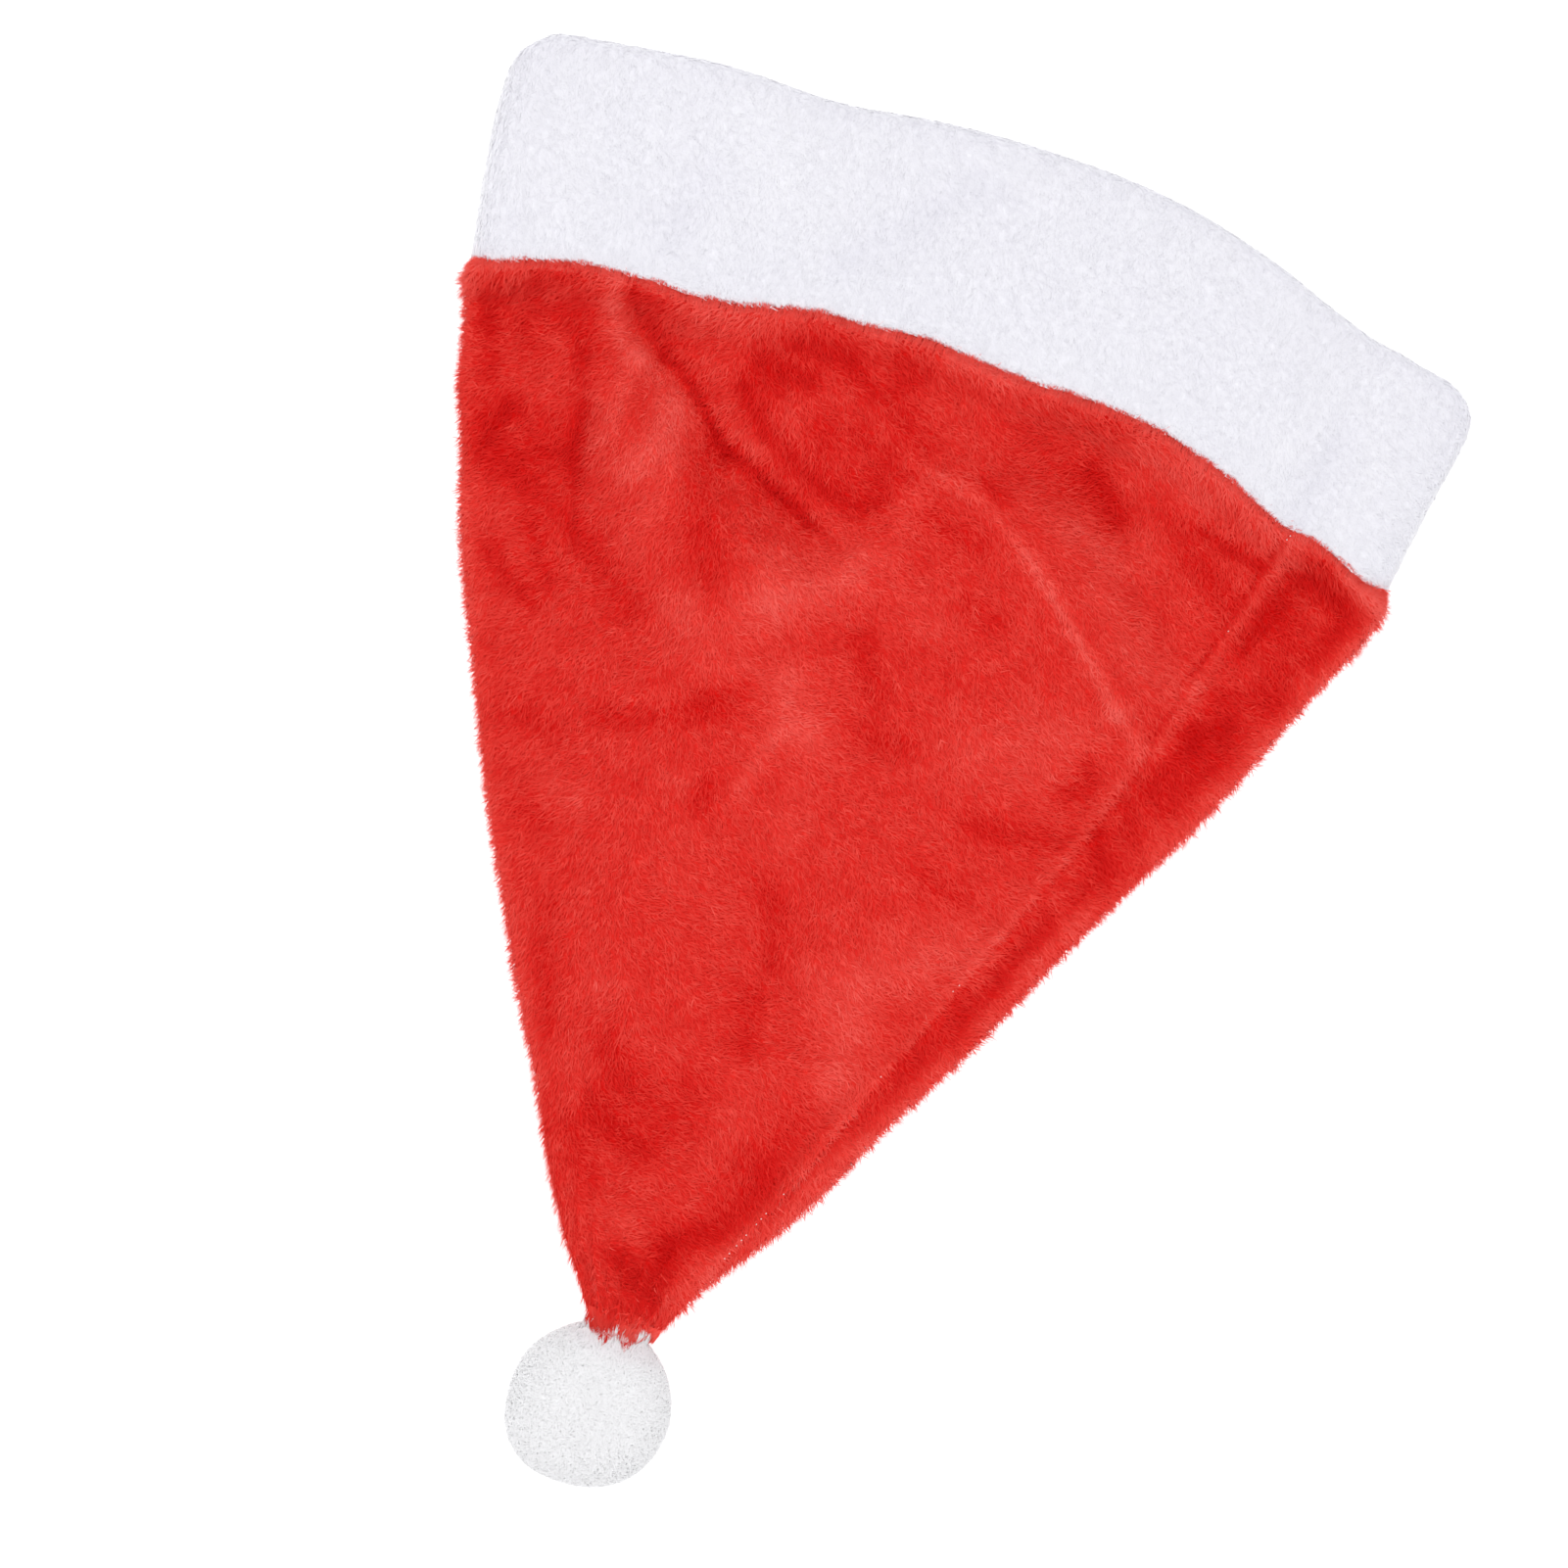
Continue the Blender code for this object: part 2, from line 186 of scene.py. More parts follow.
def makeStudio():
    scene = bpy.context.scene
    height = studio["cameraHeight"]
    lens = bpy.data.cameras.new("viewFromAbove")
    lens.sensor_width = studio["sensor"]
    lens.lens = studio["sensor"] * (height - studio["sharpHeight"]) / studio["viewWidth"]
    camera = bpy.data.objects.new("viewFromAbove", lens)
    camera.location = (*studio["viewMiddle"], height)
    camera.rotation_euler = (0, 0, math.radians(studio["viewTurn"]))
    scene.collection.objects.link(camera)
    scene.camera = camera
    scene.view_settings.view_transform = "Standard"

    world = bpy.data.worlds.new("studioSky")
    world.use_nodes = True
    setInputs(world.node_tree.nodes["Background"], studio["sky"])
    scene.world = world

    for name, (place, size, power) in studio["lights"].items():
        light = bpy.data.lights.new(name, "AREA")
        light.shape = "DISK"
        light.size = size
        light.energy = power
        lamp = bpy.data.objects.new(name, light)
        lamp.location = place
        lamp.rotation_euler = lamp.location.to_track_quat("Z", "Y").to_euler()
        scene.collection.objects.link(lamp)

    bpy.ops.mesh.primitive_plane_add(size=studio["floorSize"])
    floor = bpy.context.active_object
    floor.name = "paleFloor"
    paint, _, shader = newMaterial("paleFloor")
    setInputs(shader, studio["floor"])
    floor.data.materials.append(paint)
    print("studio: camera, sky, two soft lights and the floor are in place")


# Finishes: colours from the darkest tone to the lightest; the tones hold painted light and shade as well
# as each plush's own colour

redPlush = {
    # the lighter, paler stops hold painted sheen where the nap catches the light
    "stops": [
        (0.00, (0.69, 0.0028, 0.0023)),
        (0.30, (0.775, 0.0115, 0.0085)),
        (0.52, (0.835, 0.035, 0.025)),
        (0.78, (0.90, 0.072, 0.054)),
        (1.00, (0.95, 0.125, 0.100)),
    ],
    "sheen": 0.12,
    "sheenTint": (1.0, 0.42, 0.36, 1),
    "mottle": 0.75,  # how dark the cloth between the fibres gets in spots
}
whitePlush = {
    # the darker, bluer stops are the colour of the painted shade in the band's creases
    "stops": [
        (0.00, (0.79, 0.78, 0.835)),
        (0.45, (0.86, 0.85, 0.895)),
        (0.66, (0.875, 0.866, 0.905)),
        (1.00, (0.975, 0.97, 0.985)),
    ],
    "sheen": 0.05,
    "sheenTint": (1, 1, 1, 1),
    "mottle": 0.94,
}
pompomPlush = {
    "stops": [
        (0.00, (0.90, 0.78, 0.80)),
        (0.30, (0.93, 0.90, 0.91)),
        (0.60, (0.965, 0.962, 0.965)),
        (1.00, (0.98, 0.978, 0.98)),
    ],
    "sheen": 0.10,
    "sheenTint": (1, 1, 1, 1),
    "mottle": 0.94,
}


def pileMaterial(name, finish):
    # loose fibres: colour by the fibre's own tone, dull, with a little sheen
    material, tree, shader = newMaterial(name)
    tree.links.new(toneColor(tree, finish), shader.inputs["Base Color"])
    setInputs(shader, {
        "Roughness": 0.85,
        "Specular IOR Level": 0.2,
        "Sheen Weight": finish["sheen"],
        "Sheen Roughness": 0.5,
        "Sheen Tint": finish["sheenTint"],
    })
    return material


def groundMaterial(name, finish):
    # the cloth between the fibres: the same tones, mottled and rough
    material, tree, shader = newMaterial(name)
    fuzz = placedTexture(tree, "ShaderNodeTexNoise", {"Scale": 900, "Detail": 6, "Roughness": 0.7})
    spread = tree.nodes.new("ShaderNodeMapRange")
    setInputs(spread, {"From Min": 0.3, "From Max": 0.7, "To Min": finish["mottle"], "To Max": 1.05})
    tree.links.new(fuzz.outputs["Fac"], spread.inputs["Value"])
    mottle = tree.nodes.new("ShaderNodeMix")
    mottle.data_type = "RGBA"
    mottle.blend_type = "MULTIPLY"
    mottle.inputs["Factor"].default_value = 1
    tree.links.new(toneColor(tree, finish), mottle.inputs["A"])
    tree.links.new(spread.outputs["Result"], mottle.inputs["B"])
    tree.links.new(mottle.outputs["Result"], shader.inputs["Base Color"])
    addBump(tree, shader, fuzz.outputs["Fac"], 0.5, 0.4 * mm)
    setInputs(shader, {"Roughness": 0.95, "Specular IOR Level": 0.1})
    return material


knitBack = {
    "rib": 1.3 * mm,
    "stitch": 1.0 * mm,
    "waveLength": 0.314,  # of a wave texture at scale 1, in metres
    "colors": [(0, (0.42, 0.030, 0.026)), (1, (0.66, 0.090, 0.075))],
}


def knitMaterial(name):
    # the knitted back of the plush, seen inside the hat
    material, tree, shader = newMaterial(name)
    knit = tree.nodes.new("ShaderNodeMath")
    knit.operation = "MULTIPLY"
    for side, (way, pitch) in enumerate((("X", knitBack["rib"]), ("Y", knitBack["stitch"]))):
        wave = placedTexture(tree, "ShaderNodeTexWave",
                             {"Scale": knitBack["waveLength"] / pitch, "Distortion": 0.8, "Detail": 2})
        wave.bands_direction = way
        tree.links.new(wave.outputs["Fac"], knit.inputs[side])
    color = colorRamp(tree, knit.outputs["Value"], knitBack["colors"])
    tree.links.new(color, shader.inputs["Base Color"])
    addBump(tree, shader, knit.outputs["Value"], 0.6, 0.25 * mm)
    shader.inputs["Roughness"].default_value = 0.9
    return material


# Reading the shape of a CAD piece by rays from outside, on lines round the hat

reading = {
    "topLines": 116,
    "underLines": 46,
    "sideLines": 9,
    "profileRows": 90,
    "sideHeights": np.linspace(2, 26, 9) * mm,
    "edgeAtNeck": 5.4 * mm,  # how far the side folds' centres lie inside the outline
    "edgeAtBrim": 11.5 * mm,
    "neckHalf": 12.9 * mm,
    "brimHalf": 149 * mm,
    "rayLength": 0.3,
    "stepBack": 0.2 * mm,
}


def stationRing():
    # for each line: how far across it is, and the way it faces in x and z
    turns = np.radians(np.linspace(-90, 90, reading["sideLines"]))
    top = np.linspace(-1, 1, reading["topLines"] + 2)[1:-1]
    under = np.linspace(1, -1, reading["underLines"] + 2)[1:-1]
    ends = np.ones(len(turns))
    across = np.concatenate([-ends, top, ends, under])
    faceX = np.concatenate([-np.cos(turns), 0 * top, np.cos(turns), 0 * under])
    faceZ = np.concatenate([np.sin(turns), 0 * top + 1, -np.sin(turns), 0 * under - 1])
    return across, faceX, faceZ


across, faceX, faceZ = stationRing()
onTop = (faceX == 0) & (faceZ > 0)
lines = range(len(across))


class PieceReader:
    # reads the outside of one CAD piece
    def __init__(self, node, lowY, highY, leastReach):
        # a hit nearer to the fold's centre than leastReach is on an inner wall and doesn't count
        self.leastReach = leastReach
        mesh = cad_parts[node].data
        corners = [vertex.co.copy() for vertex in mesh.vertices]
        self.tree = BVHTree.FromPolygons(corners, [tuple(face.vertices) for face in mesh.polygons])
        rows = []
        for y in np.linspace(lowY, highY, reading["profileRows"]):
            lefts = [self.cast((-1, y, z), (1, 0, 0)) for z in reading["sideHeights"]]
            rights = [self.cast((1, y, z), (-1, 0, 0)) for z in reading["sideHeights"]]
            left = min(point[0] for point in lefts if point is not None)
            right = max(point[0] for point in rights if point is not None)
            half = (right - left) / 2
            middle = (left + right) / 2
            reach = half - self.edgeOf(half)
            heights = []
            for x in (middle - reach, middle + reach):
                heights.append(self.cast((x, y, 1), (0, 0, -1))[2])
                heights.append(self.cast((x, y, -1), (0, 0, 1))[2])
            rows.append((y, middle, half, np.mean(heights)))
        self.profile = np.array(rows)

    def cast(self, start, way):
        point = self.tree.ray_cast(start, way)[0]
        return None if point is None else np.array(point)

    def edgeOf(self, half):
        share = (half - reading["neckHalf"]) / (reading["brimHalf"] - reading["neckHalf"])
        return reading["edgeAtNeck"] + (reading["edgeAtBrim"] - reading["edgeAtNeck"]) * share

    def skinAt(self, line, y):
        places, middles, halves, heights = self.profile.T
        half = np.interp(y, places, halves)
        x = np.interp(y, places, middles) + across[line] * (half - self.edgeOf(half))
        centre = np.array((x, y, np.interp(y, places, heights)))
        way = np.array((faceX[line], 0, faceZ[line]))
        point = self.cast(centre + way * reading["rayLength"], -way)
        if point is None or (point - centre) @ way < self.leastReach:
            return None
        return point

    def edgeAt(self, line, inside, outside):
        # the last place along the hat where the piece is still met
        for _ in range(14):
            middle = (inside + outside) / 2
            if self.skinAt(line, middle) is None:
                outside = middle
            else:
                inside = middle
        return inside

    def grid(self, starts, ends, rowCount):
        # rows of points on the skin; where a ray just misses an end, one a little further in counts
        rows = []
        for share in np.linspace(0, 1, rowCount):
            row = []
            for line, y in enumerate(starts + (ends - starts) * share):
                point = self.skinAt(line, y)
                inward = y
                while point is None:
                    inward += math.copysign(reading["stepBack"], (starts[line] + ends[line]) / 2 - y)
                    point = self.skinAt(line, inward)
                row.append((point[0], y, point[2]))
            rows.append(row)
        return np.array(rows)


def smoothRound(values, rounds):
    for _ in range(rounds):
        values = values / 2 + (np.roll(values, 1, -1) + np.roll(values, -1, -1)) / 4
    return values


def smoothGrid(grid, rounds):
    # takes the facets out, and keeps the first and last rows along the hat where they are
    for _ in range(rounds):
        around = (np.roll(grid, 1, 1) + np.roll(grid, -1, 1)) / 2
        along = grid.copy()
        along[1:-1] = (grid[:-2] + grid[2:]) / 2
        grid = grid / 2 + around / 4 + along / 4
    return grid


def gridNormals(grid):
    around = np.roll(grid, -1, 1) - np.roll(grid, 1, 1)
    return unit(np.cross(around, np.gradient(grid, axis=0)))


def topShare(normals):
    # 1 on the top of the hat, 0 on its sides and underside
    return ease((normals[..., 2] - 0.2) / 0.6)


# Making the meshes

def gridTriangles(rows, columns, ringShaped=False):
    # two triangles for each place between the rows of a closed ring of columns
    places = np.arange(rows if ringShaped else rows - 1), np.arange(columns)
    row, column = (index.ravel() for index in np.meshgrid(*places, indexing="ij"))
    following = (row + 1) % rows * columns
    row = row * columns
    beside = (column + 1) % columns
    first = np.stack([row + column, row + beside, following + beside], axis=1)
    second = np.stack([row + column, following + beside, following + column], axis=1)
    return np.concatenate([first, second])


def closedTube(rings):
    # points and triangles of rings in a row, with a fan to a middle point at both ends
    rows, columns = rings.shape[:2]
    first = np.arange(columns)
    last = first + (rows - 1) * columns
    startFan = np.stack([np.roll(first, -1), first, np.full(columns, rows * columns)], axis=1)
    endFan = np.stack([last, np.roll(last, -1), np.full(columns, rows * columns + 1)], axis=1)
    points = np.concatenate([rings.reshape(-1, 3), [rings[0].mean(0), rings[-1].mean(0)]])
    return points, np.concatenate([gridTriangles(rows, columns), startFan, endFan])


def meshPiece(name, points, faces, tones, materials, faceMaterial=None, cornerNormals=None):
    mesh = bpy.data.meshes.new(name)
    corners = faces.shape[1]
    mesh.vertices.add(len(points))
    mesh.vertices.foreach_set("co", points.astype(np.float32).ravel())
    mesh.loops.add(faces.size)
    mesh.loops.foreach_set("vertex_index", faces.astype(np.int32).ravel())
    mesh.polygons.add(len(faces))
    mesh.polygons.foreach_set("loop_start", np.arange(0, faces.size, corners, dtype=np.int32))
    if faceMaterial is not None:
        mesh.polygons.foreach_set("material_index", faceMaterial.astype(np.int32))
    mesh.update(calc_edges=True)
    mesh.validate()
    mesh.shade_smooth()
    tone = mesh.attributes.new("tone", "FLOAT", "POINT")
    tone.data.foreach_set("value", np.clip(tones, 0, 1).astype(np.float32))
    for material in materials:
        mesh.materials.append(material)
    if cornerNormals is not None:
        mesh.normals_split_custom_set(cornerNormals)
    piece = bpy.data.objects.new(name, mesh)
    bpy.context.scene.collection.objects.link(piece)
    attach(piece, "root")
    return piece


class Skin:
    # an outer surface that fibres grow from
    def __init__(self, grid):
        self.points = grid.reshape(-1, 3)
        self.normals = gridNormals(grid).reshape(-1, 3)
        self.triangles = gridTriangles(*grid.shape[:2])
        a, b, c = (self.points[self.triangles[:, corner]] for corner in range(3))
        self.areas = np.linalg.norm(np.cross(b - a, c - a), axis=1) / 2
        self.up = self.normals[self.triangles][:, :, 2].mean(1)

    def scatter(self, count, weights, draw):
        # places spread evenly over the weighted surface, and the normals there
        count = int(count * pileShare)
        ends = np.cumsum(self.areas * weights)
        picks = np.searchsorted(ends, (np.arange(count) + draw.random(count)) / count * ends[-1])
        picks = np.minimum(picks, len(ends) - 1)
        u, v = draw.random(count), draw.random(count)
        over = u + v > 1
        u[over], v[over] = 1 - u[over], 1 - v[over]
        shares = np.stack([1 - u - v, u, v], axis=1)[:, :, None]
        chosen = self.triangles[picks]
        return (self.points[chosen] * shares).sum(1), unit((self.normals[chosen] * shares).sum(1))


def fibreMesh(name, roots, normals, tips, widths, tones, spec):
    # each fibre is a closed sliver: three corners at its root and one at its tip
    count = len(roots)
    ways = unit(tips - roots)
    side = unit(np.cross(ways, normals))
    ridge = unit(np.cross(side, ways))
    half = (widths / 2)[:, None]
    tips = np.maximum(tips, (-math.inf, -math.inf, floorGap))
    corners = np.stack([roots - side * half, roots + side * half,
                        roots + ridge * half * spec["thickness"], tips], axis=1)
    order = np.array([(0, 1, 2), (0, 2, 3), (2, 1, 3), (1, 0, 3)])
    faces = (np.arange(count)[:, None, None] * 4 + order).reshape(-1, 3)
    points = corners.reshape(-1, 3)
    a, b, c = (points[faces[:, corner]] for corner in range(3))
    shading = unit(np.cross(b - a, c - a)).reshape(count, 4, 3)
    # the two upper faces are shaded as the cloth is, and light coming through turns that upwards
    soft = normals[:, None] * spec["softness"] + shading[:, 1:3] * (1 - spec["softness"])
    shading[:, 1:3] = unit(soft + np.array((0, 0, spec["litThrough"])))
    shading = np.repeat(shading.reshape(-1, 3), 3, axis=0)
    # roots are painted darker, as shade deep in the pile, and tips lighter, as painted light
    shades = tones[:, None] + np.array([spec["rootPaintedShade"]] * 3 + [spec["tipPaintedLight"]])
    slot = spec["slot"]
    return meshPiece(name, points, faces, shades.ravel(), [pileFinish[slot]], cornerNormals=shading)


# Where the painted light and shade of the red plush lie, in creases, on ridges and where the nap catches
# or loses the light: lift and width in mm, how much lighter or darker the pile is painted, and the paths
# in mm. X runs across the hat and Y from the tip to the mouth.

crownFoldAndShadeMarks = [
    # the long crease from the band towards the middle, with painted shade in it, and painted light on the
    # ridge above it
    (-0.8, 2.5, -0.10, [(-91, 124), (-86, 117), (-78, 111)]), (0.0, 4.0, -0.10, [(-55, 94), (-52, 90)]),
    (-1.0, 2.0, -0.25, [(-78, 111), (-72, 109.5), (-65, 103.5), (-60, 99), (-55, 93.5), (-51, 91.5)]),
    (-1.0, 2.0, -0.24, [(-51, 91.5), (-45, 90), (-40, 87.5), (-34, 84.5), (-28, 82), (-23, 79)]),
    (-0.4, 2.0, -0.09, [(-23, 79), (-12, 75.5)]), (0.6, 2.8, 0.12, [(-51, 96.5), (-41, 94)]),
    (0.3, 4.0, 0.09, [(-14, 77), (2, 77)]),
    # the curved ridge on the right, and the painted light on it and on the area beside it
    (0.8, 2.0, 0.12, [(-2, 106), (8, 104), (20, 102), (28, 98), (38, 91.5)]),
    (1.2, 2.4, 0.00, [(42, 91), (50, 85), (58, 78), (66, 71), (74, 64), (79, 59)]),
    (0.0, 2.2, 0.22, [(39, 91), (48, 84), (56, 77), (64, 70), (72, 63), (78, 57)]),
    (0.6, 3.0, 0.11, [(79, 58), (88, 50)]), (0.0, 6.0, 0.10, [(62, 91), (66, 84), (78, 74), (92, 70)]),
    # the fold down the left side: painted light on its right, painted shade in a sharp valley lower down
    # and in smaller places round it
    (0.8, 3.4, 0.18, [(-97, 126), (-94, 117), (-90, 111), (-84, 108)]),
    (0.4, 4.5, 0.13, [(-84, 108), (-85, 98), (-86, 84)]), (0.0, 5.0, -0.14, [(-104, 115), (-102, 108)]),
    (0.6, 5.5, 0.19, [(-69, 98), (-71, 88), (-76, 77)]), (-0.5, 3.0, -0.12, [(-100, 104), (-97, 97)]),
    (0.0, 5.0, 0.09, [(-66, 84), (-66, 70), (-68, 57)]), (0.0, 4.0, -0.12, [(-88, 59), (-85, 56)]),
    (-1.0, 2.6, -0.22, [(-95, 90), (-94, 82), (-92, 75), (-89, 68)]),
    (0.0, 3.5, -0.12, [(-98, 54), (-92, 45), (-87, 40)]), (0.4, 7.0, 0.10, [(-50, 45), (-42, 38)]),
    (0.0, 5.0, -0.11, [(-80, 52), (-70, 45), (-62, 40)]),
    # painted shade near the band
    (0.0, 3.5, -0.12, [(-130, 112), (-127, 112)], [(-46, 136), (-32, 137)], [(34, 138), (52, 138)],
     [(-83, 119), (-77, 116)]),
    (0.0, 4.0, -0.14, [(-118, 122), (-111, 124)], [(-91, 127), (-84, 126)]),
    (-0.4, 3.0, -0.15, [(-130, 107), (-128, 103)]), (-0.4, 4.0, -0.12, [(-127, 103), (-123, 90)]),
    (0.0, 4.0, -0.11, [(-118, 116), (-112, 113)], [(-13, 132), (-8, 129)]),
    (0.0, 4.5, -0.11, [(-117, 106), (-114, 102)], [(-28, 105), (-26, 102)]),
    (-0.6, 3.5, -0.17, [(-44, 127), (-28, 127)]), (0.0, 3.5, -0.14, [(-24, 124), (-20, 121)]),
    (0.0, 5.0, -0.13, [(-12, 122), (-6, 116)], [(89, 104), (97, 99)]),
    (-0.6, 4.0, -0.20, [(-51, 119), (-37, 118)]), (0.0, 4.0, -0.12, [(-50, 113), (-45, 112)]),
    (-0.4, 2.5, -0.18, [(-54, 111), (-50, 106), (-46, 103)]), (0.0, 3.0, -0.09, [(60, 108), (65, 103)]),
    (0.0, 3.5, -0.10, [(1, 112), (0, 103), (-3, 98), (-16, 96)]),
    (-0.6, 4.0, -0.18, [(48, 120), (54, 115), (59, 110)]), (0.0, 8.0, -0.05, [(30, 119), (42, 120)]),
    (0.0, 4.0, -0.10, [(46, 114), (52, 112)], [(76, 114), (84, 106)], [(-18, 107), (-8, 105)]),
    (0.0, 2.0, -0.12, [(20, 107), (27, 104)]), (-0.8, 2.2, -0.20, [(84, 115), (92, 113), (102, 111.5)]),
    # painted shade halfway along the hat
    (-0.4, 3.5, -0.20, [(-115, 83), (-117, 72)]), (-0.4, 4.0, -0.08, [(-112, 82), (-103, 83)]),
    (0.0, 5.0, -0.16, [(-117, 67), (-108, 71), (-97, 75)]), (0.0, 4.0, -0.09, [(-38, 86), (-31, 84)]),
    (-0.4, 3.5, -0.17, [(-43, 99), (-33, 95), (-22, 90), (-12, 88), (-6, 92)]),
    (0.0, 6.0, -0.07, [(-57, 84), (-54, 73)]), (0.0, 3.5, -0.11, [(9, 92), (25, 89)]),
    (0.0, 4.0, -0.08, [(28, 73), (36, 70)]), (0.0, 4.0, -0.18, [(75, 41), (76, 34), (72, 31)]),
    (0.0, 3.0, -0.15, [(-106, 42), (-98, 36), (-90, 32)]), (0.0, 3.0, -0.11, [(-35, 21), (-24, 29)]),
    (0.0, 4.5, -0.10, [(2, 52), (7, 45), (12, 40)], [(12, 27), (22, 28)]),
    (0.0, 4.5, -0.12, [(-107, 65), (-98, 62)]), (0.0, 6.0, -0.10, [(-50, 66), (-46, 58)]),
    (0.0, 3.5, -0.13, [(-123, 80), (-121, 76)]),
    # painted shade towards the tip
    (0.0, 4.0, -0.12, [(50, 14), (62, 14), (74, 17)]), (0.0, 4.5, -0.07, [(-84, 1), (-74, -1)]),
    (0.0, 4.0, -0.10, [(-60, 8), (-45, 13), (-28, 20)], [(42, -6), (53, -7)], [(1.6, -144), (3, -148)]),
    (-0.5, 4.0, -0.11, [(0, -22), (5, -30), (9, -42)]), (-0.4, 5.0, -0.10, [(7, -54), (9, -67)]),
    (0.0, 3.5, -0.11, [(-26, 0), (-25, -7)]), (0.0, 7.0, -0.07, [(0, -84), (-2, -96)]),
    (0.0, 4.0, -0.09, [(-73, -24), (-67, -26)]), (0.0, 3.5, -0.07, [(-56, -48), (-52, -66), (-45, -82)]),
    (0.0, 5.0, -0.14, [(-28, -81), (-14, -92)]), (0.0, 4.0, -0.08, [(-31, -106), (-20, -117)]),
    (0.0, 5.0, -0.18, [(-26, -97), (-20, -102), (-9, -105)]), (0.0, 3.8, -0.18, [(-5, -136), (0, -139)]),
    (0.0, 4.5, -0.10, [(32, -79), (29, -92), (18, -101)]),
    (-0.5, 4.8, -0.19, [(28, -102), (24, -113), (18, -120), (9, -127)]),
    (0.0, 4.4, -0.21, [(8, -132), (8, -142), (11, -149)]),
    # painted shade on the strip to the right of the side seam
    (-0.8, 5.0, -0.24, [(119, 114), (125, 110)]), (0.0, 4.0, -0.18, [(131, 106), (126, 91)]),
    (-0.6, 3.5, -0.20, [(114, 111), (110, 100), (106, 87)]), (0.0, 4.0, -0.14, [(105, 71), (114, 76)]),
    (0.0, 5.0, -0.14, [(116, 98), (119, 82), (120, 74)]), (-0.6, 4.5, -0.23, [(109, 64), (101, 59)]),
    (-0.4, 3.5, -0.18, [(102, 56), (97, 46), (94, 40)]), (0.0, 4.0, -0.15, [(90, 33), (93, 26)]),
    (0.0, 4.0, -0.17, [(111, 57), (106, 49), (100, 37)]), (-0.3, 3.5, -0.20, [(85, 23), (87, 16)]),
    (-0.3, 4.0, -0.16, [(92, 15), (86, 5)]), (-0.4, 4.0, -0.18, [(80, -6), (76, -14), (72, -25)]),
    (-0.4, 4.5, -0.14, [(72, -31), (66, -34), (66, -46)]), (-0.3, 4.0, -0.14, [(59, -50), (55, -62)]),
    (0.0, 3.0, -0.10, [(53, -68), (48, -80)]),
    # painted light near the band
    (0.0, 4.0, 0.10, [(-70, 125), (-60, 128), (-48, 133)]), (0.0, 3.0, 0.14, [(0, 137), (16, 137)]),
    (0.0, 4.0, 0.12, [(58, 131), (70, 128), (82, 122)]), (0.0, 4.0, 0.24, [(128, 117), (138, 112)]),
    (0.0, 5.0, 0.10, [(106, 119), (88, 129), (72, 134)]), (0.0, 3.0, 0.12, [(-139, 113), (-137, 115)]),
    (0.0, 3.5, 0.06, [(2, 96), (2, 84)]), (0.0, 6.0, 0.10, [(46, 103), (50, 100), (70, 104)]),
    (0.0, 3.5, 0.10, [(-78, 108), (-74, 98)]),
    # painted light further down
    (0.0, 6.0, 0.18, [(-6, 70), (-13, 64), (-24, 54)]), (0.0, 6.0, 0.12, [(-28, 66), (-30, 46)]),
    (0.0, 6.0, 0.08, [(12, 66), (20, 64)], [(0, 4), (0, -10)]), (0.0, 5.0, 0.08, [(-32, 32), (-22, 33)]),
    (0.0, 7.0, 0.16, [(-12, 34), (-8, 22)]), (0.0, 3.0, 0.14, [(-12, 18), (-14, 10), (-16, 1)]),
    (0.0, 4.0, 0.12, [(-1, 24), (1, 18)]), (0.0, 9.0, 0.10, [(42, 32), (66, 36)]),
    (0.0, 5.0, 0.10, [(54, 48), (74, 46)]), (0.0, 6.0, 0.06, [(-27, -18), (-24, -30)]),
    (0.0, 8.0, 0.13, [(42, -32), (50, -27), (62, -21)]), (0.0, 4.5, 0.10, [(-69, -14), (-61, -16)]),
    (0.0, 7.0, 0.14, [(33, -40), (37, -56), (37, -72)]), (0.0, 3.0, 0.09, [(-38, -3), (-31, -2)]),
    (0.0, 5.0, 0.09, [(-35, -64), (-31, -64)], [(22, -43), (26, -48)]),
    (0.0, 5.0, 0.05, [(-35, -88), (-31, -95)]), (0.0, 4.0, 0.10, [(-7, -127), (-7, -131)]),
    (0.0, 6.0, 0.04, [(11, -78), (14, -100)]), (0.0, 3.5, 0.20, [(6, -154), (14, -153)]),
    # painted sheen: the light rim along the lower right side, and a thinner one on the left
    (0.0, 3.2, 0.12, [(90, 3), (84, -10), (78, -22), (72, -40), (66, -54), (60, -65), (51, -83)]),
    (0.0, 3.6, 0.11, [(51, -83), (45, -93), (39, -108), (29, -122), (21, -133), (16, -144), (11, -151)]),
    (0.0, 3.0, 0.12, [(139, 104), (129, 80), (120, 60), (112, 38), (103, 22)]),
    (0.0, 2.4, 0.10, [(-122, 64), (-112, 38), (-94, -5), (-75, -40), (-60, -65), (-42, -97)]),
]
# the side seam: a thin line of painted light, with a narrow groove beside it in its upper part; the
# grooves hold painted shade
seamPath = [(108.5, 128), (107.5, 121.8), (97.1, 79.3), (90.4, 51.6), (80.6, 17.7), (69.1, -11.7),
            (62.1, -31), (49.5, -63.3), (39.1, -93.2), (25.4, -125.7), (22, -134)]
crownFoldAndShadeMarks += [
    (-0.8, 1.0, -0.15, [(x - 0.8, y) for x, y in seamPath[1:4]]),
    (-0.6, 1.1, -0.08, [(x + 1.4, y) for x, y in seamPath[3:]]),
    (0.5, 1.8, 0.08, [(x + 1.8, y) for x, y in seamPath[:4]]),
    (0.4, 1.6, 0.09, [(x - 0.9, y) for x, y in seamPath[3:]]),
]
bandCreaseAndShadeMarks = [
    # faint creases of the white band, with painted shade in them
    (-0.8, 5.0, -0.30, [(-86, 144), (-83.6, 162.7)], [(-38.2, 152), (-8.8, 186.2)],
     [(112.3, 154.8), (108.4, 123.8)]),
]


# The crown: one panel of red plush sewn up into a cone

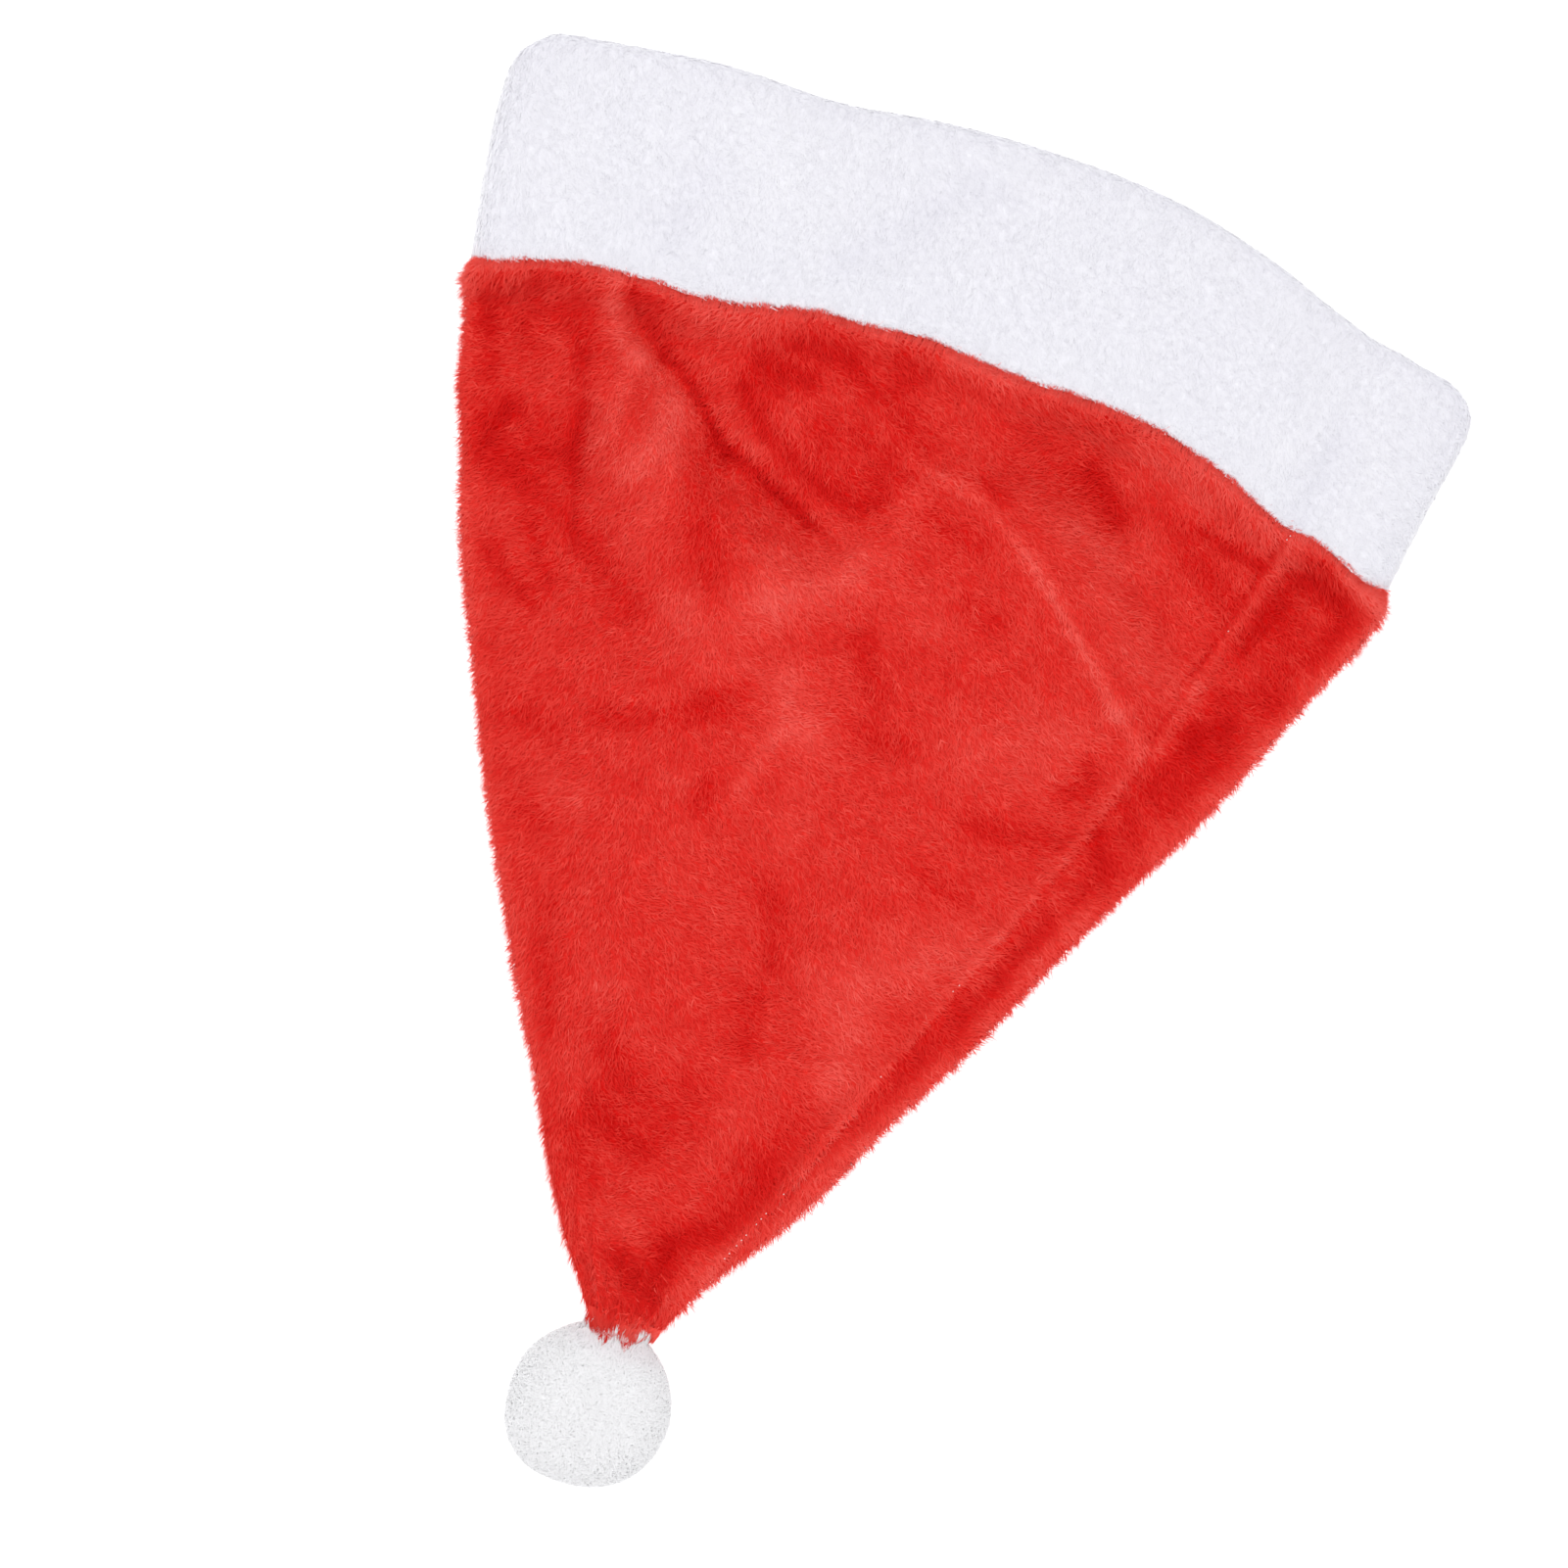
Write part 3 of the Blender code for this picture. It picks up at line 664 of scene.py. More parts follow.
crown = {
    "rows": 118,
    "innerRows": 40,
    "neckX": 3.6 * mm,
    "sidesReadTo": 0.1145,
    "hemSpan": (0.05, 0.17),  # the hem is looked for between these two places
    "leastReach": 1.5 * mm,
    "smoothing": 3,
    "clothDepth": 1.5 * mm,  # the cloth lies this far inside the pile's outer face
    "clothThickness": 1.5 * mm,
    "flat": (0.60, 0.32),
    "flatArea": 0.112,
    "swell": 0.35 * mm,  # small unevenness of the cloth
    "swellLength": 34 * mm,
    "gatherLength": 24 * mm,  # towards the tip the marks' lifts and the gathers' pleats fade out
    "gatherSmoothing": 24,
    "sideBulge": 2.4 * mm,  # it swells out at its sides just before the band
    "bulgeSpan": (90 * mm, 106 * mm, 109 * mm, 118 * mm),
    "roll": 3.2 * mm,  # on top it swells before it goes under the band
    "rollSpan": (-14 * mm, -4 * mm, 0, 2.5 * mm),  # measured from the sewn edge
    # small moves of the side folds to the hat's outline: place, left and right in mm
    "trims": [(-156, 0.0, -0.3), (-144, -0.3, -1.8), (-138, -1.2, -2.4), (-132, -1.1, -1.2),
              (-120, -1.2, -0.3), (-108, -0.6, 0.0), (-96, 0.0, -0.3), (12, -0.3, 0.2), (30, -0.7, 1.4),
              (48, -1.8, 1.2), (60, -1.9, 1.3), (72, -1.8, 0.0), (84, -2.2, -0.6), (96, -0.4, 0.3),
              (102, 0.9, -0.2), (108, -0.3, 1.1), (113, -3.4, 2.2)],
    "tone": 0.56,
    # painted shade: the cloth between the fibres is darker than the pile
    "clothShadedTone": 0.42,
    "innerTone": 0.30,
    "markStrength": 1.75,
    "patches": [(60 * mm, 0.02), (24 * mm, 0.03), (10 * mm, 0.05), (5 * mm, 0.03)],
    "rimPaintedLight": 0.32,  # painted light: the pile catches the light along the outline
    "seamPaintedLight": 0.26,  # and painted light where it stands up against the band
    "seamLight": 7 * mm,
    "seed": 11,
}
band = {
    "rows": 34,
    "foldSteps": 10,
    "sidesReadFrom": 0.126,
    "sidesReadTo": 0.160,
    "seamSpan": (0.155, 0.10),
    "mouthSpan": (0.155, 0.22),
    "leastReach": 6.0 * mm,
    # small moves of the sewn edge along the hat: place across and move in mm
    "seamTrims": [(-140, 1.6), (-136, 0.8), (-130, 0.4), (-124, -0.2), (-118, -0.9), (-86, -0.8),
                  (-78, -2.6), (-62, -3.2), (-54, -2.2), (-46, -1.4), (-38, -0.5), (-30, -1.5),
                  (-22, -1.9), (-14, -1.2), (-6, -1.1), (2, -1.9), (18, -2.0), (26, -2.4), (34, -1.8),
                  (50, -1.8), (66, -0.9), (74, -1.4), (82, -0.8), (98, -1.2), (106, -2.1),
                  (114, -1.3), (120, -1.6), (126, -2.6), (131, -3.1), (138, -2.4)],
    "smoothing": 3,
    "wall": 9.6 * mm,
    "ply": 3.0 * mm,
    "clothDepth": 1.2 * mm,
    "insideClothDepth": 0.6 * mm,
    "flat": (0.60, 0.13),
    "swell": 0.25 * mm,
    "swellLength": 40 * mm,
    "tone": 0.60,
    "markStrength": 1,
    "rimPaintedLight": 0.36,  # painted light: its sides look a little lighter
    "patches": [(70 * mm, 0.06), (25 * mm, 0.05), (9 * mm, 0.02)],
    "seed": 23,
}


def readLine(reader, span, rounds):
    # where a piece ends on each line round the hat, looked for between two places
    return smoothRound(np.array([reader.edgeAt(line, *span) for line in lines]), rounds)


neckX = crown["neckX"]
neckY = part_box("crown")[0].y
crownReader = PieceReader("crown", neckY + 0.3 * mm, crown["sidesReadTo"], crown["leastReach"])
bandReader = PieceReader("band", band["sidesReadFrom"], band["sidesReadTo"], band["leastReach"])
hemLine = readLine(crownReader, crown["hemSpan"], 4)
seamLine = readLine(bandReader, band["seamSpan"], 4)
mouthLine = readLine(bandReader, band["mouthSpan"], 2)
seamSpots = np.array([bandReader.skinAt(line, seamLine[line] + 1 * mm)[0] for line in lines])
seamLine = seamLine + np.interp(seamSpots, *(np.array(band["seamTrims"]).T * mm))
upper = faceZ > 0.3
print("edges read: neck %.1f, sewn edge %.1f, mouth %.1f mm" % tuple(
    edge / mm for edge in (neckY, seamLine.max(), mouthLine.max())))


def seamAt(x):
    # where the band's sewn edge lies along the hat, for a place across it
    return np.interp(x, seamSpots[upper], seamLine[upper])


def swelling(place, span):
    # rises from 0 to 1 and falls back to 0 between the four places of a span
    start, full, last, end = span
    return ease((place - start) / (full - start)) * ease((end - place) / (end - last))


def liftAndTone(base, marks, spec, fade):
    # lift and tone of the marks on a grid of points, with the cloth's small unevenness; the tone is
    # painted light and shade
    points = base.reshape(-1, 3)
    lift, tone = readMarks(points, marks, spec["markStrength"])
    lift += spec["swell"] * softNoise(points, spec["swellLength"], spec["seed"])
    return lift.reshape(fade.shape) * fade, tone.reshape(fade.shape) * fade


def makeCrownCloth():
    starts = np.full(len(across), neckY + 0.1 * mm)
    base = smoothGrid(crownReader.grid(starts, hemLine, crown["rows"]), crown["smoothing"])
    nearNeck = ease(1 - (base[..., 1] - neckY) / crown["gatherLength"])
    base[..., 2] += nearNeck * (smoothRound(base[..., 2], crown["gatherSmoothing"]) - base[..., 2])
    places, lefts, rights = np.array(crown["trims"]).T * mm
    share = (across + 1) / 2
    base[..., 0] += np.interp(base[..., 1], places, lefts) * (1 - share)
    base[..., 0] += np.interp(base[..., 1], places, rights) * share

    ways = gridNormals(base)
    fade = topShare(ways) * ease((base[..., 1] - neckY) / crown["gatherLength"])
    lift, tone = liftAndTone(base, crownFoldAndShadeMarks, crown, fade)
    lift += crown["sideBulge"] * swelling(base[..., 1], crown["bulgeSpan"]) * np.abs(ways[..., 0])
    past = base[..., 1] - seamAt(base[..., 0])
    lift += crown["roll"] * swelling(past, crown["rollSpan"]) * topShare(ways)
    skin = base + ways * (lift - crown["clothDepth"])[..., None]

    innerRows = np.linspace(crown["rows"] - 1, 1, crown["innerRows"]).astype(int)
    inner = (skin - ways * crown["clothThickness"])[innerRows]
    points, faces = closedTube(np.concatenate([skin, inner]))
    tones = np.full(len(points), crown["innerTone"])
    # the cloth carries the marks' painted light and shade as well
    tones[:tone.size] = crown["clothShadedTone"] + tone.ravel()
    inside = faces.max(axis=1) >= tone.size
    inside[-2 * len(across):-len(across)] = False  # the fan at the neck shows from outside
    cloth = meshPiece("crownCloth", points, faces, tones, [redGround, redBack], inside)
    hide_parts("crown")
    print("crown: cloth of", len(faces), "faces")
    return cloth, skin


def makeBandCloth():
    base = bandReader.grid(seamLine + 0.2 * mm, mouthLine - band["wall"] / 2, band["rows"])
    base = smoothGrid(base, band["smoothing"])
    ways = gridNormals(base)
    lift, tone = liftAndTone(base, bandCreaseAndShadeMarks, band, topShare(ways))
    base = base + ways * lift[..., None]
    outwards = np.stack([faceX, 0 * faceX, faceZ], axis=1)

    def ring(row, inset, past=0):
        # one row, moved inwards and along the hat
        return base[row] - outwards * inset + (0, past, 0)

    def fold(depth, turns):
        # rings round the fold at the mouth
        half = band["wall"] / 2
        radius = half - depth
        return [ring(-1, half - radius * math.cos(turn), radius * math.sin(turn)) for turn in turns]

    backRows = range(band["rows"] - 1, -1, -2)
    turns = np.linspace(0, math.pi, band["foldSteps"] + 1)[1:-1]
    outer = [ring(row, band["clothDepth"]) for row in range(band["rows"])]
    outer += fold(band["clothDepth"], turns)
    hollow = [ring(row, band["wall"] - band["insideClothDepth"]) for row in backRows]
    inside = [ring(row, band["wall"] - band["ply"]) for row in reversed(backRows)]
    inside += fold(band["ply"], turns[::-2])
    inside += [ring(row, band["ply"]) for row in backRows]
    rings = np.array(outer + hollow + inside)
    points = rings.reshape(-1, 3)
    faces = gridTriangles(*rings.shape[:2], ringShaped=True)
    tones = np.full(len(points), band["tone"])
    # the creases' painted shade goes onto the band's cloth
    tones[:tone.size] += tone.ravel()
    cloth = meshPiece("bandCloth", points, faces, tones, [whiteGround])
    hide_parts("band")
    print("band: folded strip of", len(faces), "faces")
    return cloth, np.array(outer), np.array([outer[-1]] + hollow)


makeStudio()
redGround = groundMaterial("redGround", redPlush)
redBack = knitMaterial("redBack")
whiteGround = groundMaterial("whiteGround", whitePlush)
pompomGround = groundMaterial("pompomGround", pompomPlush)
pileFinish = {
    "crown_plush": pileMaterial("redPile", redPlush),
    "band_plush": pileMaterial("whitePile", whitePlush),
    "pompom_plush": pileMaterial("pompomYarn", pompomPlush),
}
crownCloth, crownSkin = makeCrownCloth()
bandCloth, bandSkin, bandHollow = makeBandCloth()


# Pile: many short fibres, each with its own way, length and tone

crownPile = {
    "slot": "crown_plush",
    "topCount": 120000,
    "sideWeight": 0.35,  # a little more of it at the sides
    "length": 2.9 * mm,
    "width": 0.46 * mm,
    "thickness": 0.8,
    "softness": 0.80,
    "litThrough": 0,
    "rise": 24,  # degrees above the cloth
    "sideRise": 20,  # more than that at the sides
    "pastSeam": 1.5 * mm,  # the pile goes on this far under the band's edge
    "valleyLength": 12 * mm,  # towards the band the pile stands up out of the sewn valley
    "valleyRise": 46,
    "valleyStretch": 0.15,
    "sideStretch": 0.40,  # and reaches out over the hat's sides there
    "cornerRound": 5 * mm,  # but stays short at the very corners, so they look round
    "cornerShort": 0.50,
    "raggedEdge": (2.2 * mm, 0.42),
    "neckAim": (3.6 * mm, -175 * mm),  # at the neck it points to the middle of the pompom
    "neckLength": 12 * mm,
    "darkRise": 22,  # the pile stands up more where it looks dark
    "darkest": 0.45,
    "leftNap": (-0.43, -0.90),
    "rightNap": (0.90, -0.43),
    "napTurnsFrom": -70 * mm,
    "napTurnsOver": 60 * mm,
    "swirls": [(55 * mm, 22), (18 * mm, 18), (5 * mm, 18)],  # degrees
    "stray": 26,
    "riseStray": 9,
    "rootPaintedShade": -0.06,
    "tipPaintedLight": 0.04,
    "jitter": 0.085,
    "clump": (2.4 * mm, 0.075),
    "clumpStretch": 0.14,
    "underCount": 15000,
    "underNap": (0.0, -1.0),
    "underRise": 10,
    "underTone": 0.51,
    "underSpread": (0.9, 1.4),
    "underWidth": 1.7,
    "seed": 5,
}


def raised(flow, normals, rise, spec, draw):
    # lays the ways of fibres on the cloth, and raises each by an angle that strays
    tangent = unit(flow - normals * (flow * normals).sum(1, keepdims=True) + 1e-6)
    rise = np.radians(rise + draw.normal(0, spec["riseStray"], len(flow)))[:, None]
    return tangent * np.cos(rise) + normals * np.sin(rise)


def fibreWays(roots, normals, flow, rise, spec, draw):
    # the way each fibre leans: its nap in the plan, turned by swirls, then raised
    stray = draw.normal(0, spec["stray"], len(roots))
    turn = np.radians(stray + layeredNoise(roots, spec["swirls"], spec["seed"] + 30))
    x, y = flow.T
    turned = (x * np.cos(turn) - y * np.sin(turn), x * np.sin(turn) + y * np.cos(turn), 0 * turn)
    return raised(np.stack(turned, axis=1), normals, rise, spec, draw)


def crownNap(roots):
    share = ease((roots[:, 0] - crownPile["napTurnsFrom"]) / crownPile["napTurnsOver"])[:, None]
    return unit(np.array(crownPile["leftNap"]) * (1 - share) + np.array(crownPile["rightNap"]) * share)


def makeCrownPile():
    spec = crownPile
    draw = np.random.default_rng(spec["seed"])
    skin = Skin(crownSkin)
    weights = (skin.up > underneath) * (1 + spec["sideWeight"] * (1 - ease(skin.up / 0.6)))
    roots, normals = skin.scatter(spec["topCount"], weights, draw)
    past = roots[:, 1] - seamAt(roots[:, 0])
    kept = np.flatnonzero(past < spec["pastSeam"])
    order = kept[np.argsort(roots[kept, 1], kind="stable")]
    roots, normals, past = roots[order], normals[order], past[order]
    count = len(roots)
    aside = 1 - topShare(normals)
    _, marks = readMarks(roots, crownFoldAndShadeMarks, crown["markStrength"])
    marks *= ease((normals[:, 2] + 0.4) / 0.4)

    valley = ease(1 + past / spec["valleyLength"])
    rise = spec["rise"] + spec["sideRise"] * aside
    rise += spec["darkRise"] * np.clip(-marks / spec["darkest"], 0, 1)
    rise += (spec["valleyRise"] - rise) * valley
    atNeck = ease(1 - (roots[:, 1] - neckY) / spec["neckLength"])
    rise -= (rise - spec["underRise"]) * atNeck
    toNeck = unit(np.array(spec["neckAim"]) - roots[:, :2])
    flow = crownNap(roots) * (1 - atNeck[:, None]) + toNeck * atNeck[:, None]
    ways = fibreWays(roots, normals, flow, rise, spec, draw)

    # the pile's tone: random patches, with the marks' painted light and shade, painted light along the
    # outline and where it stands up against the band
    tones = crown["tone"] + marks + layeredNoise(roots, crown["patches"], crown["seed"] + 1)
    tones += crown["rimPaintedLight"] * aside + crown["seamPaintedLight"] * ease(1 + past / crown["seamLight"])
    wavelength, strength = spec["clump"]
    clump = softNoise(roots, wavelength, spec["seed"] + 9, 24)
    tones += strength * clump + draw.normal(0, spec["jitter"], count)
    lengths = spec["length"] * draw.uniform(*lengthSpread, count) * (1 + spec["clumpStretch"] * clump)
    lengths *= 1 + valley * (spec["valleyStretch"] + spec["sideStretch"] * aside)
    lengths *= 1 - spec["cornerShort"] * aside * ease(1 + past / spec["cornerRound"])
    wavelength, strength = spec["raggedEdge"]
    lengths *= 1 + strength * aside * softNoise(roots, wavelength, spec["seed"] + 12, 24)
    tips = roots + ways * lengths[:, None]
    widths = spec["width"] * draw.uniform(*widthSpread, count)
    pieces = []
    for part, name in enumerate(("crownPileTip", "crownPileMiddle", "crownPileBrim")):
        span = slice(part * count // 3, (part + 1) * count // 3)
        pieces.append(fibreMesh(name, roots[span], normals[span], tips[span],
                                widths[span], tones[span], spec))

    # the underside, pressed flat
    roots, normals = skin.scatter(spec["underCount"], (skin.up <= underneath).astype(float), draw)
    kept = roots[:, 1] < seamAt(roots[:, 0])
    roots, normals = roots[kept], normals[kept]
    count = len(roots)
    flow = np.tile(spec["underNap"], (count, 1))
    ways = fibreWays(roots, normals, flow, spec["underRise"], spec, draw)
    tones = spec["underTone"] + layeredNoise(roots, crown["patches"], crown["seed"] + 5)
    tones += draw.normal(0, spec["jitter"], count)
    tips = roots + ways * spec["length"] * draw.uniform(*spec["underSpread"], count)[:, None]
    widths = spec["underWidth"] * spec["width"] * draw.uniform(*widthSpread, count)
    pieces.append(fibreMesh("crownPileUnder", roots, normals, tips, widths, tones, spec))
    print("crown: pile of", sum(len(piece.data.polygons) for piece in pieces), "faces")
    return pieces


bandPile = {
    "slot": "band_plush",
    # name, outer or inner ply, count, degrees above the cloth, and how much larger the fibres are
    "parts": [("bandPile", bandSkin, 44000, 9, 1.0), ("bandPileInside", bandHollow, 7000, 14, 1.5)],
    "underWeight": 0.30,  # fewer and wider fibres where the band lies on the floor
    "underWidth": 1.6,
    "length": 2.9 * mm,
    "width": 0.60 * mm,
    "thickness": 0.5,
    "softness": 1.0,
    "litThrough": 0.7,  # white fibres let light through, so their sides look as light as their tops
    "nap": (0.55, -0.83),
    "seamTurn": 5 * mm,  # near the sewn edge it runs along the edge
    "leastRoom": 0.6 * mm,
    "swirls": [(60 * mm, 25), (16 * mm, 12)],
    "stray": 38,
    "riseStray": 3,
    "rootPaintedShade": -0.03,
    "tipPaintedLight": 0.01,
    "jitter": 0.022,
    "seed": 41,
}


def makeBandPile():
    spec = bandPile
    pieces = []
    for name, grid, count, rise, stretch in spec["parts"]:
        draw = np.random.default_rng(spec["seed"] + count)
        skin = Skin(grid)
        weights = 1 - (1 - spec["underWeight"]) * (skin.up < underneath)
        roots, normals = skin.scatter(count, weights, draw)
        count = len(roots)
        fromSeam = roots[:, 1] - seamAt(roots[:, 0])
        flow = np.tile(spec["nap"], (count, 1))
        flow[:, 1] *= ease(fromSeam / spec["seamTurn"])
        ways = fibreWays(roots, normals, unit(flow), rise, spec, draw)
        top = topShare(normals)
        _, marks = readMarks(roots, bandCreaseAndShadeMarks, band["markStrength"])
        # painted shade of the creases on top, and painted light on the band's sides
        tones = band["tone"] + marks * top + band["rimPaintedLight"] * (1 - top)
        tones += layeredNoise(roots, band["patches"], band["seed"] + 1)
        tones += draw.normal(0, spec["jitter"], count)
        # a fibre ends before it would reach over the sewn edge
        room = np.maximum(fromSeam, spec["leastRoom"]) / np.maximum(-ways[:, 1], 0.01)
        lengths = spec["length"] * stretch * draw.uniform(*lengthSpread, count)
        tips = roots + ways * np.minimum(lengths, room)[:, None]
        widths = spec["width"] * stretch * draw.uniform(*widthSpread, count)
        widths[normals[:, 2] < underneath] *= spec["underWidth"]
        pieces.append(fibreMesh(name, roots, normals, tips, widths, tones, spec))
    print("band: pile of", sum(len(piece.data.polygons) for piece in pieces), "faces")
    return pieces


# The pompom's round form, and the line where the red ends on it

pompom = {
    "slot": "pompom_plush",
    "centre": (3.2 * mm, -177.5 * mm),
    # how far it reaches from its centre in mm, every 15 degrees from -180
    "reach": [24.7, 25.2, 26.5, 27.3, 27.3, 26.2, 25.3, 25.0, 24.9, 24.6, 23.9, 23.3,
              22.9, 22.4, 22.2, 22.2, 22.4, 22.9, 23.4, 23.4, 23.3, 23.3, 23.9, 24.4],
    "roundness": 2.2,  # 2 is an ellipsoid, more is squarer
    "coreDepth": 1.4 * mm,
    "coreSteps": (40, 64),
    "coreBottom": 1.8 * mm,
    "seatGap": 0.6 * mm,
    "seatPile": 0.5 * mm,
    "fill": 0.9,
    "tone": 0.72,
    "pinkFrom": 11 * mm,  # the white turns pink near the crown's tip
    "pinkReach": 12 * mm,
    "pinkHeight": 24 * mm,
    "pinkTone": 0.42,
    "count": 24000,
    "length": 3.4 * mm,
    "lengthSpread": (0.8, 1.15),
    "width": 0.72 * mm,
    "thickness": 0.6,
    "softness": 0.99,
    "litThrough": 0.9,
    "rise": 22,
    "riseStray": 7,
    "lay": 6 * mm,  # near the red its fibres lie towards the neck
    "covered": 1.0 * mm,  # and stay this much lower under it
    "unevenness": 0.014,
    "rootPaintedShade": -0.03,
    "tipPaintedLight": 0.02,
    "jitter": 0.03,
    # white fluff that stands up over the red's end: middle and half width across, and how many
    "fluff": [(2.8, 1.3, 130), (10.2, 1.6, 150), (-3.5, 4.0, 60), (6.4, 3.0, 50)],
    "fluffRoot": (0.4 * mm, 2.4 * mm),
    "fluffReach": (1.8 * mm, 3.8 * mm),
    "fluffStray": 0.6 * mm,
    "fluffHeight": 2.4 * mm,
    "fluffSpread": (0.7, 1.1),
    "fluffWidth": 0.7,
    "fluffTone": 0.42,
    "seed": 91,
}
# where the red tip ends over the pompom, with its points and the white tufts between them
redEnd = np.array([(-14, -153.0), (-9.3, -154.2), (-6.9, -157.0), (-3, -158.4), (0.3, -160.4),
                   (2.4, -157.2), (4.2, -158.0), (6.4, -160.2), (9.6, -156.4), (13.5, -156.4),
                   (15.8, -153.4), (20, -153.0)]) * mm
neckReach = 10.8 * mm
pompomLow, pompomHigh = (np.array(corner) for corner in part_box("pompom"))
pompomMiddle = np.array((*pompom["centre"], (pompomLow[2] + pompomHigh[2]) / 2))
pompomHeight = (pompomHigh[2] - pompomLow[2]) / 2


def redEndAt(x):
    return np.interp(x, redEnd[:, 0], redEnd[:, 1])


def planReach(ways, depth):
    # how far the round form, made smaller by a depth, reaches in the plan
    turns = np.degrees(np.arctan2(ways[..., 1], ways[..., 0]))
    reach = np.array(pompom["reach"] + pompom["reach"][:1]) * mm
    return np.interp(turns, np.linspace(-180, 180, len(reach)), reach) - depth


def pompomReach(ways, depth):
    # and how far it reaches from its middle in any direction
    power = pompom["roundness"]
    flat = np.hypot(ways[..., 0], ways[..., 1]) / planReach(ways, depth)
    steep = np.abs(ways[..., 2]) / (pompomHeight - depth)
    return (flat ** power + steep ** power) ** (-1 / power)


def coreTop(x, y):
    # the height of the core's upper side over a place in the plan
    power = pompom["roundness"]
    depth = pompom["coreDepth"]
    aside = np.stack([x, y], axis=-1) - pompom["centre"]
    left = 1 - (np.hypot(aside[:, 0], aside[:, 1]) / planReach(aside, depth)) ** power
    return pompomMiddle[2] + (pompomHeight - depth) * np.maximum(left, 0) ** (1 / power)


def tipGround(x, y):
    # the height that the red tip lies on: the crown's neck, then the pompom's core
    neck = crownSkin[1, onTop]
    neckHeight = np.interp(x, neck[:, 0], neck[:, 2])
    share = np.clip((neckY - y) / (4 * mm), 0, 1)
    return neckHeight * (1 - share) + np.maximum(coreTop(x, y), neckHeight) * share


# Red tufts that reach over the band's sewn edge and over the pompom

tufts = {
    "slot": "crown_plush",
    "seamCount": 7500,
    "seamDepth": 3.0 * mm,
    "seamPast": 0.5 * mm,
    "seamLowest": -0.3,  # they grow on cloth whose normal points higher than this
    "seamClear": 1.3 * mm,  # they rise from the crown's cloth to this far over the band's
    "seamRises": (1.5 * mm, 5.5 * mm),
    "seamRiseSpread": (0.75, 1.05),
    "seamOver": 1.0 * mm,  # and end this far over the white
    "seamUnder": 1.2 * mm,
    "sideUnder": 2.2 * mm,  # at the hat's sides they stay this much lower
    "sideRise": 0.3,  # and stand out less
    "seamWave": (8 * mm, 0.4 * mm),
    "seamSway": (9 * mm, 0.5 * mm, 0.4 * mm),
    "seamClump": 5 * mm,
    "tipCount": 2600,
    "tipFrom": 1.5 * mm,
    "tipPast": 1.2 * mm,
    "tipLength": 3.6 * mm,
    "tipHeight": 1.1 * mm,
    "tipRagged": 0.7 * mm,
    "tipInward": 0.12,
    "tipStray": 0.25,
    "tipSway": (0.7 * mm, 0.8 * mm),
    "tipLengthSpread": (0.7, 1.1),
    "tipHeightSpread": (0.6, 1.5),
    "tipClump": 3 * mm,
    "width": 0.46 * mm,
    "thickness": 0.8,
    "softness": 0.80,
    "litThrough": 0.6,
    "rootPaintedShade": -0.10,
    "tipPaintedLight": 0.06,
    "tone": 0.60,
    "clump": 0.06,
    "jitter": 0.05,
    "seed": 77,
}


def makeSeamTufts():
    spec = tufts
    draw = np.random.default_rng(spec["seed"])
    skin = Skin(crownSkin)
    past = (skin.points[:, 1] - seamAt(skin.points[:, 0]))[skin.triangles].mean(1)
    where = (past > -spec["seamDepth"]) & (past < spec["seamPast"]) & (skin.up > spec["seamLowest"])
    roots, normals = skin.scatter(spec["seamCount"], where.astype(float), draw)
    count = len(roots)
    top = topShare(normals)
    clump = softNoise(roots, spec["seamClump"], spec["seed"], 24)
    wavelength, strength = spec["seamWave"]
    over = spec["seamOver"] + strength * softNoise(roots, wavelength, spec["seed"] + 5)
    over -= (spec["seamUnder"] + over) * draw.random(count) ** 1.5
    over -= spec["sideUnder"] * (1 - top)
    edge = bandSkin[1, upper]
    rise = np.interp(roots[:, 0], edge[:, 0], edge[:, 2]) + spec["seamClear"] - roots[:, 2]
    rise = np.clip(rise / np.maximum(normals[:, 2], 0.6), *spec["seamRises"])
    rise *= draw.uniform(*spec["seamRiseSpread"], count)
    rise *= spec["sideRise"] + (1 - spec["sideRise"]) * top
    tips = roots + normals * rise[:, None]
    wavelength, wave, stray = spec["seamSway"]
    tips[:, 0] += wave * softNoise(roots, wavelength, spec["seed"] + 3) + stray * draw.normal(size=count)
    tips[:, 1] = seamAt(roots[:, 0]) + over
    widths = spec["width"] * draw.uniform(*widthSpread, count)
    tones = spec["tone"] + spec["clump"] * clump + draw.normal(0, spec["jitter"], count)
    # the tufts get the same painted light as the crown's pile where it stands up against the band
    return fibreMesh("seamTufts", roots, normals, tips, widths, tones + crown["seamPaintedLight"], spec)


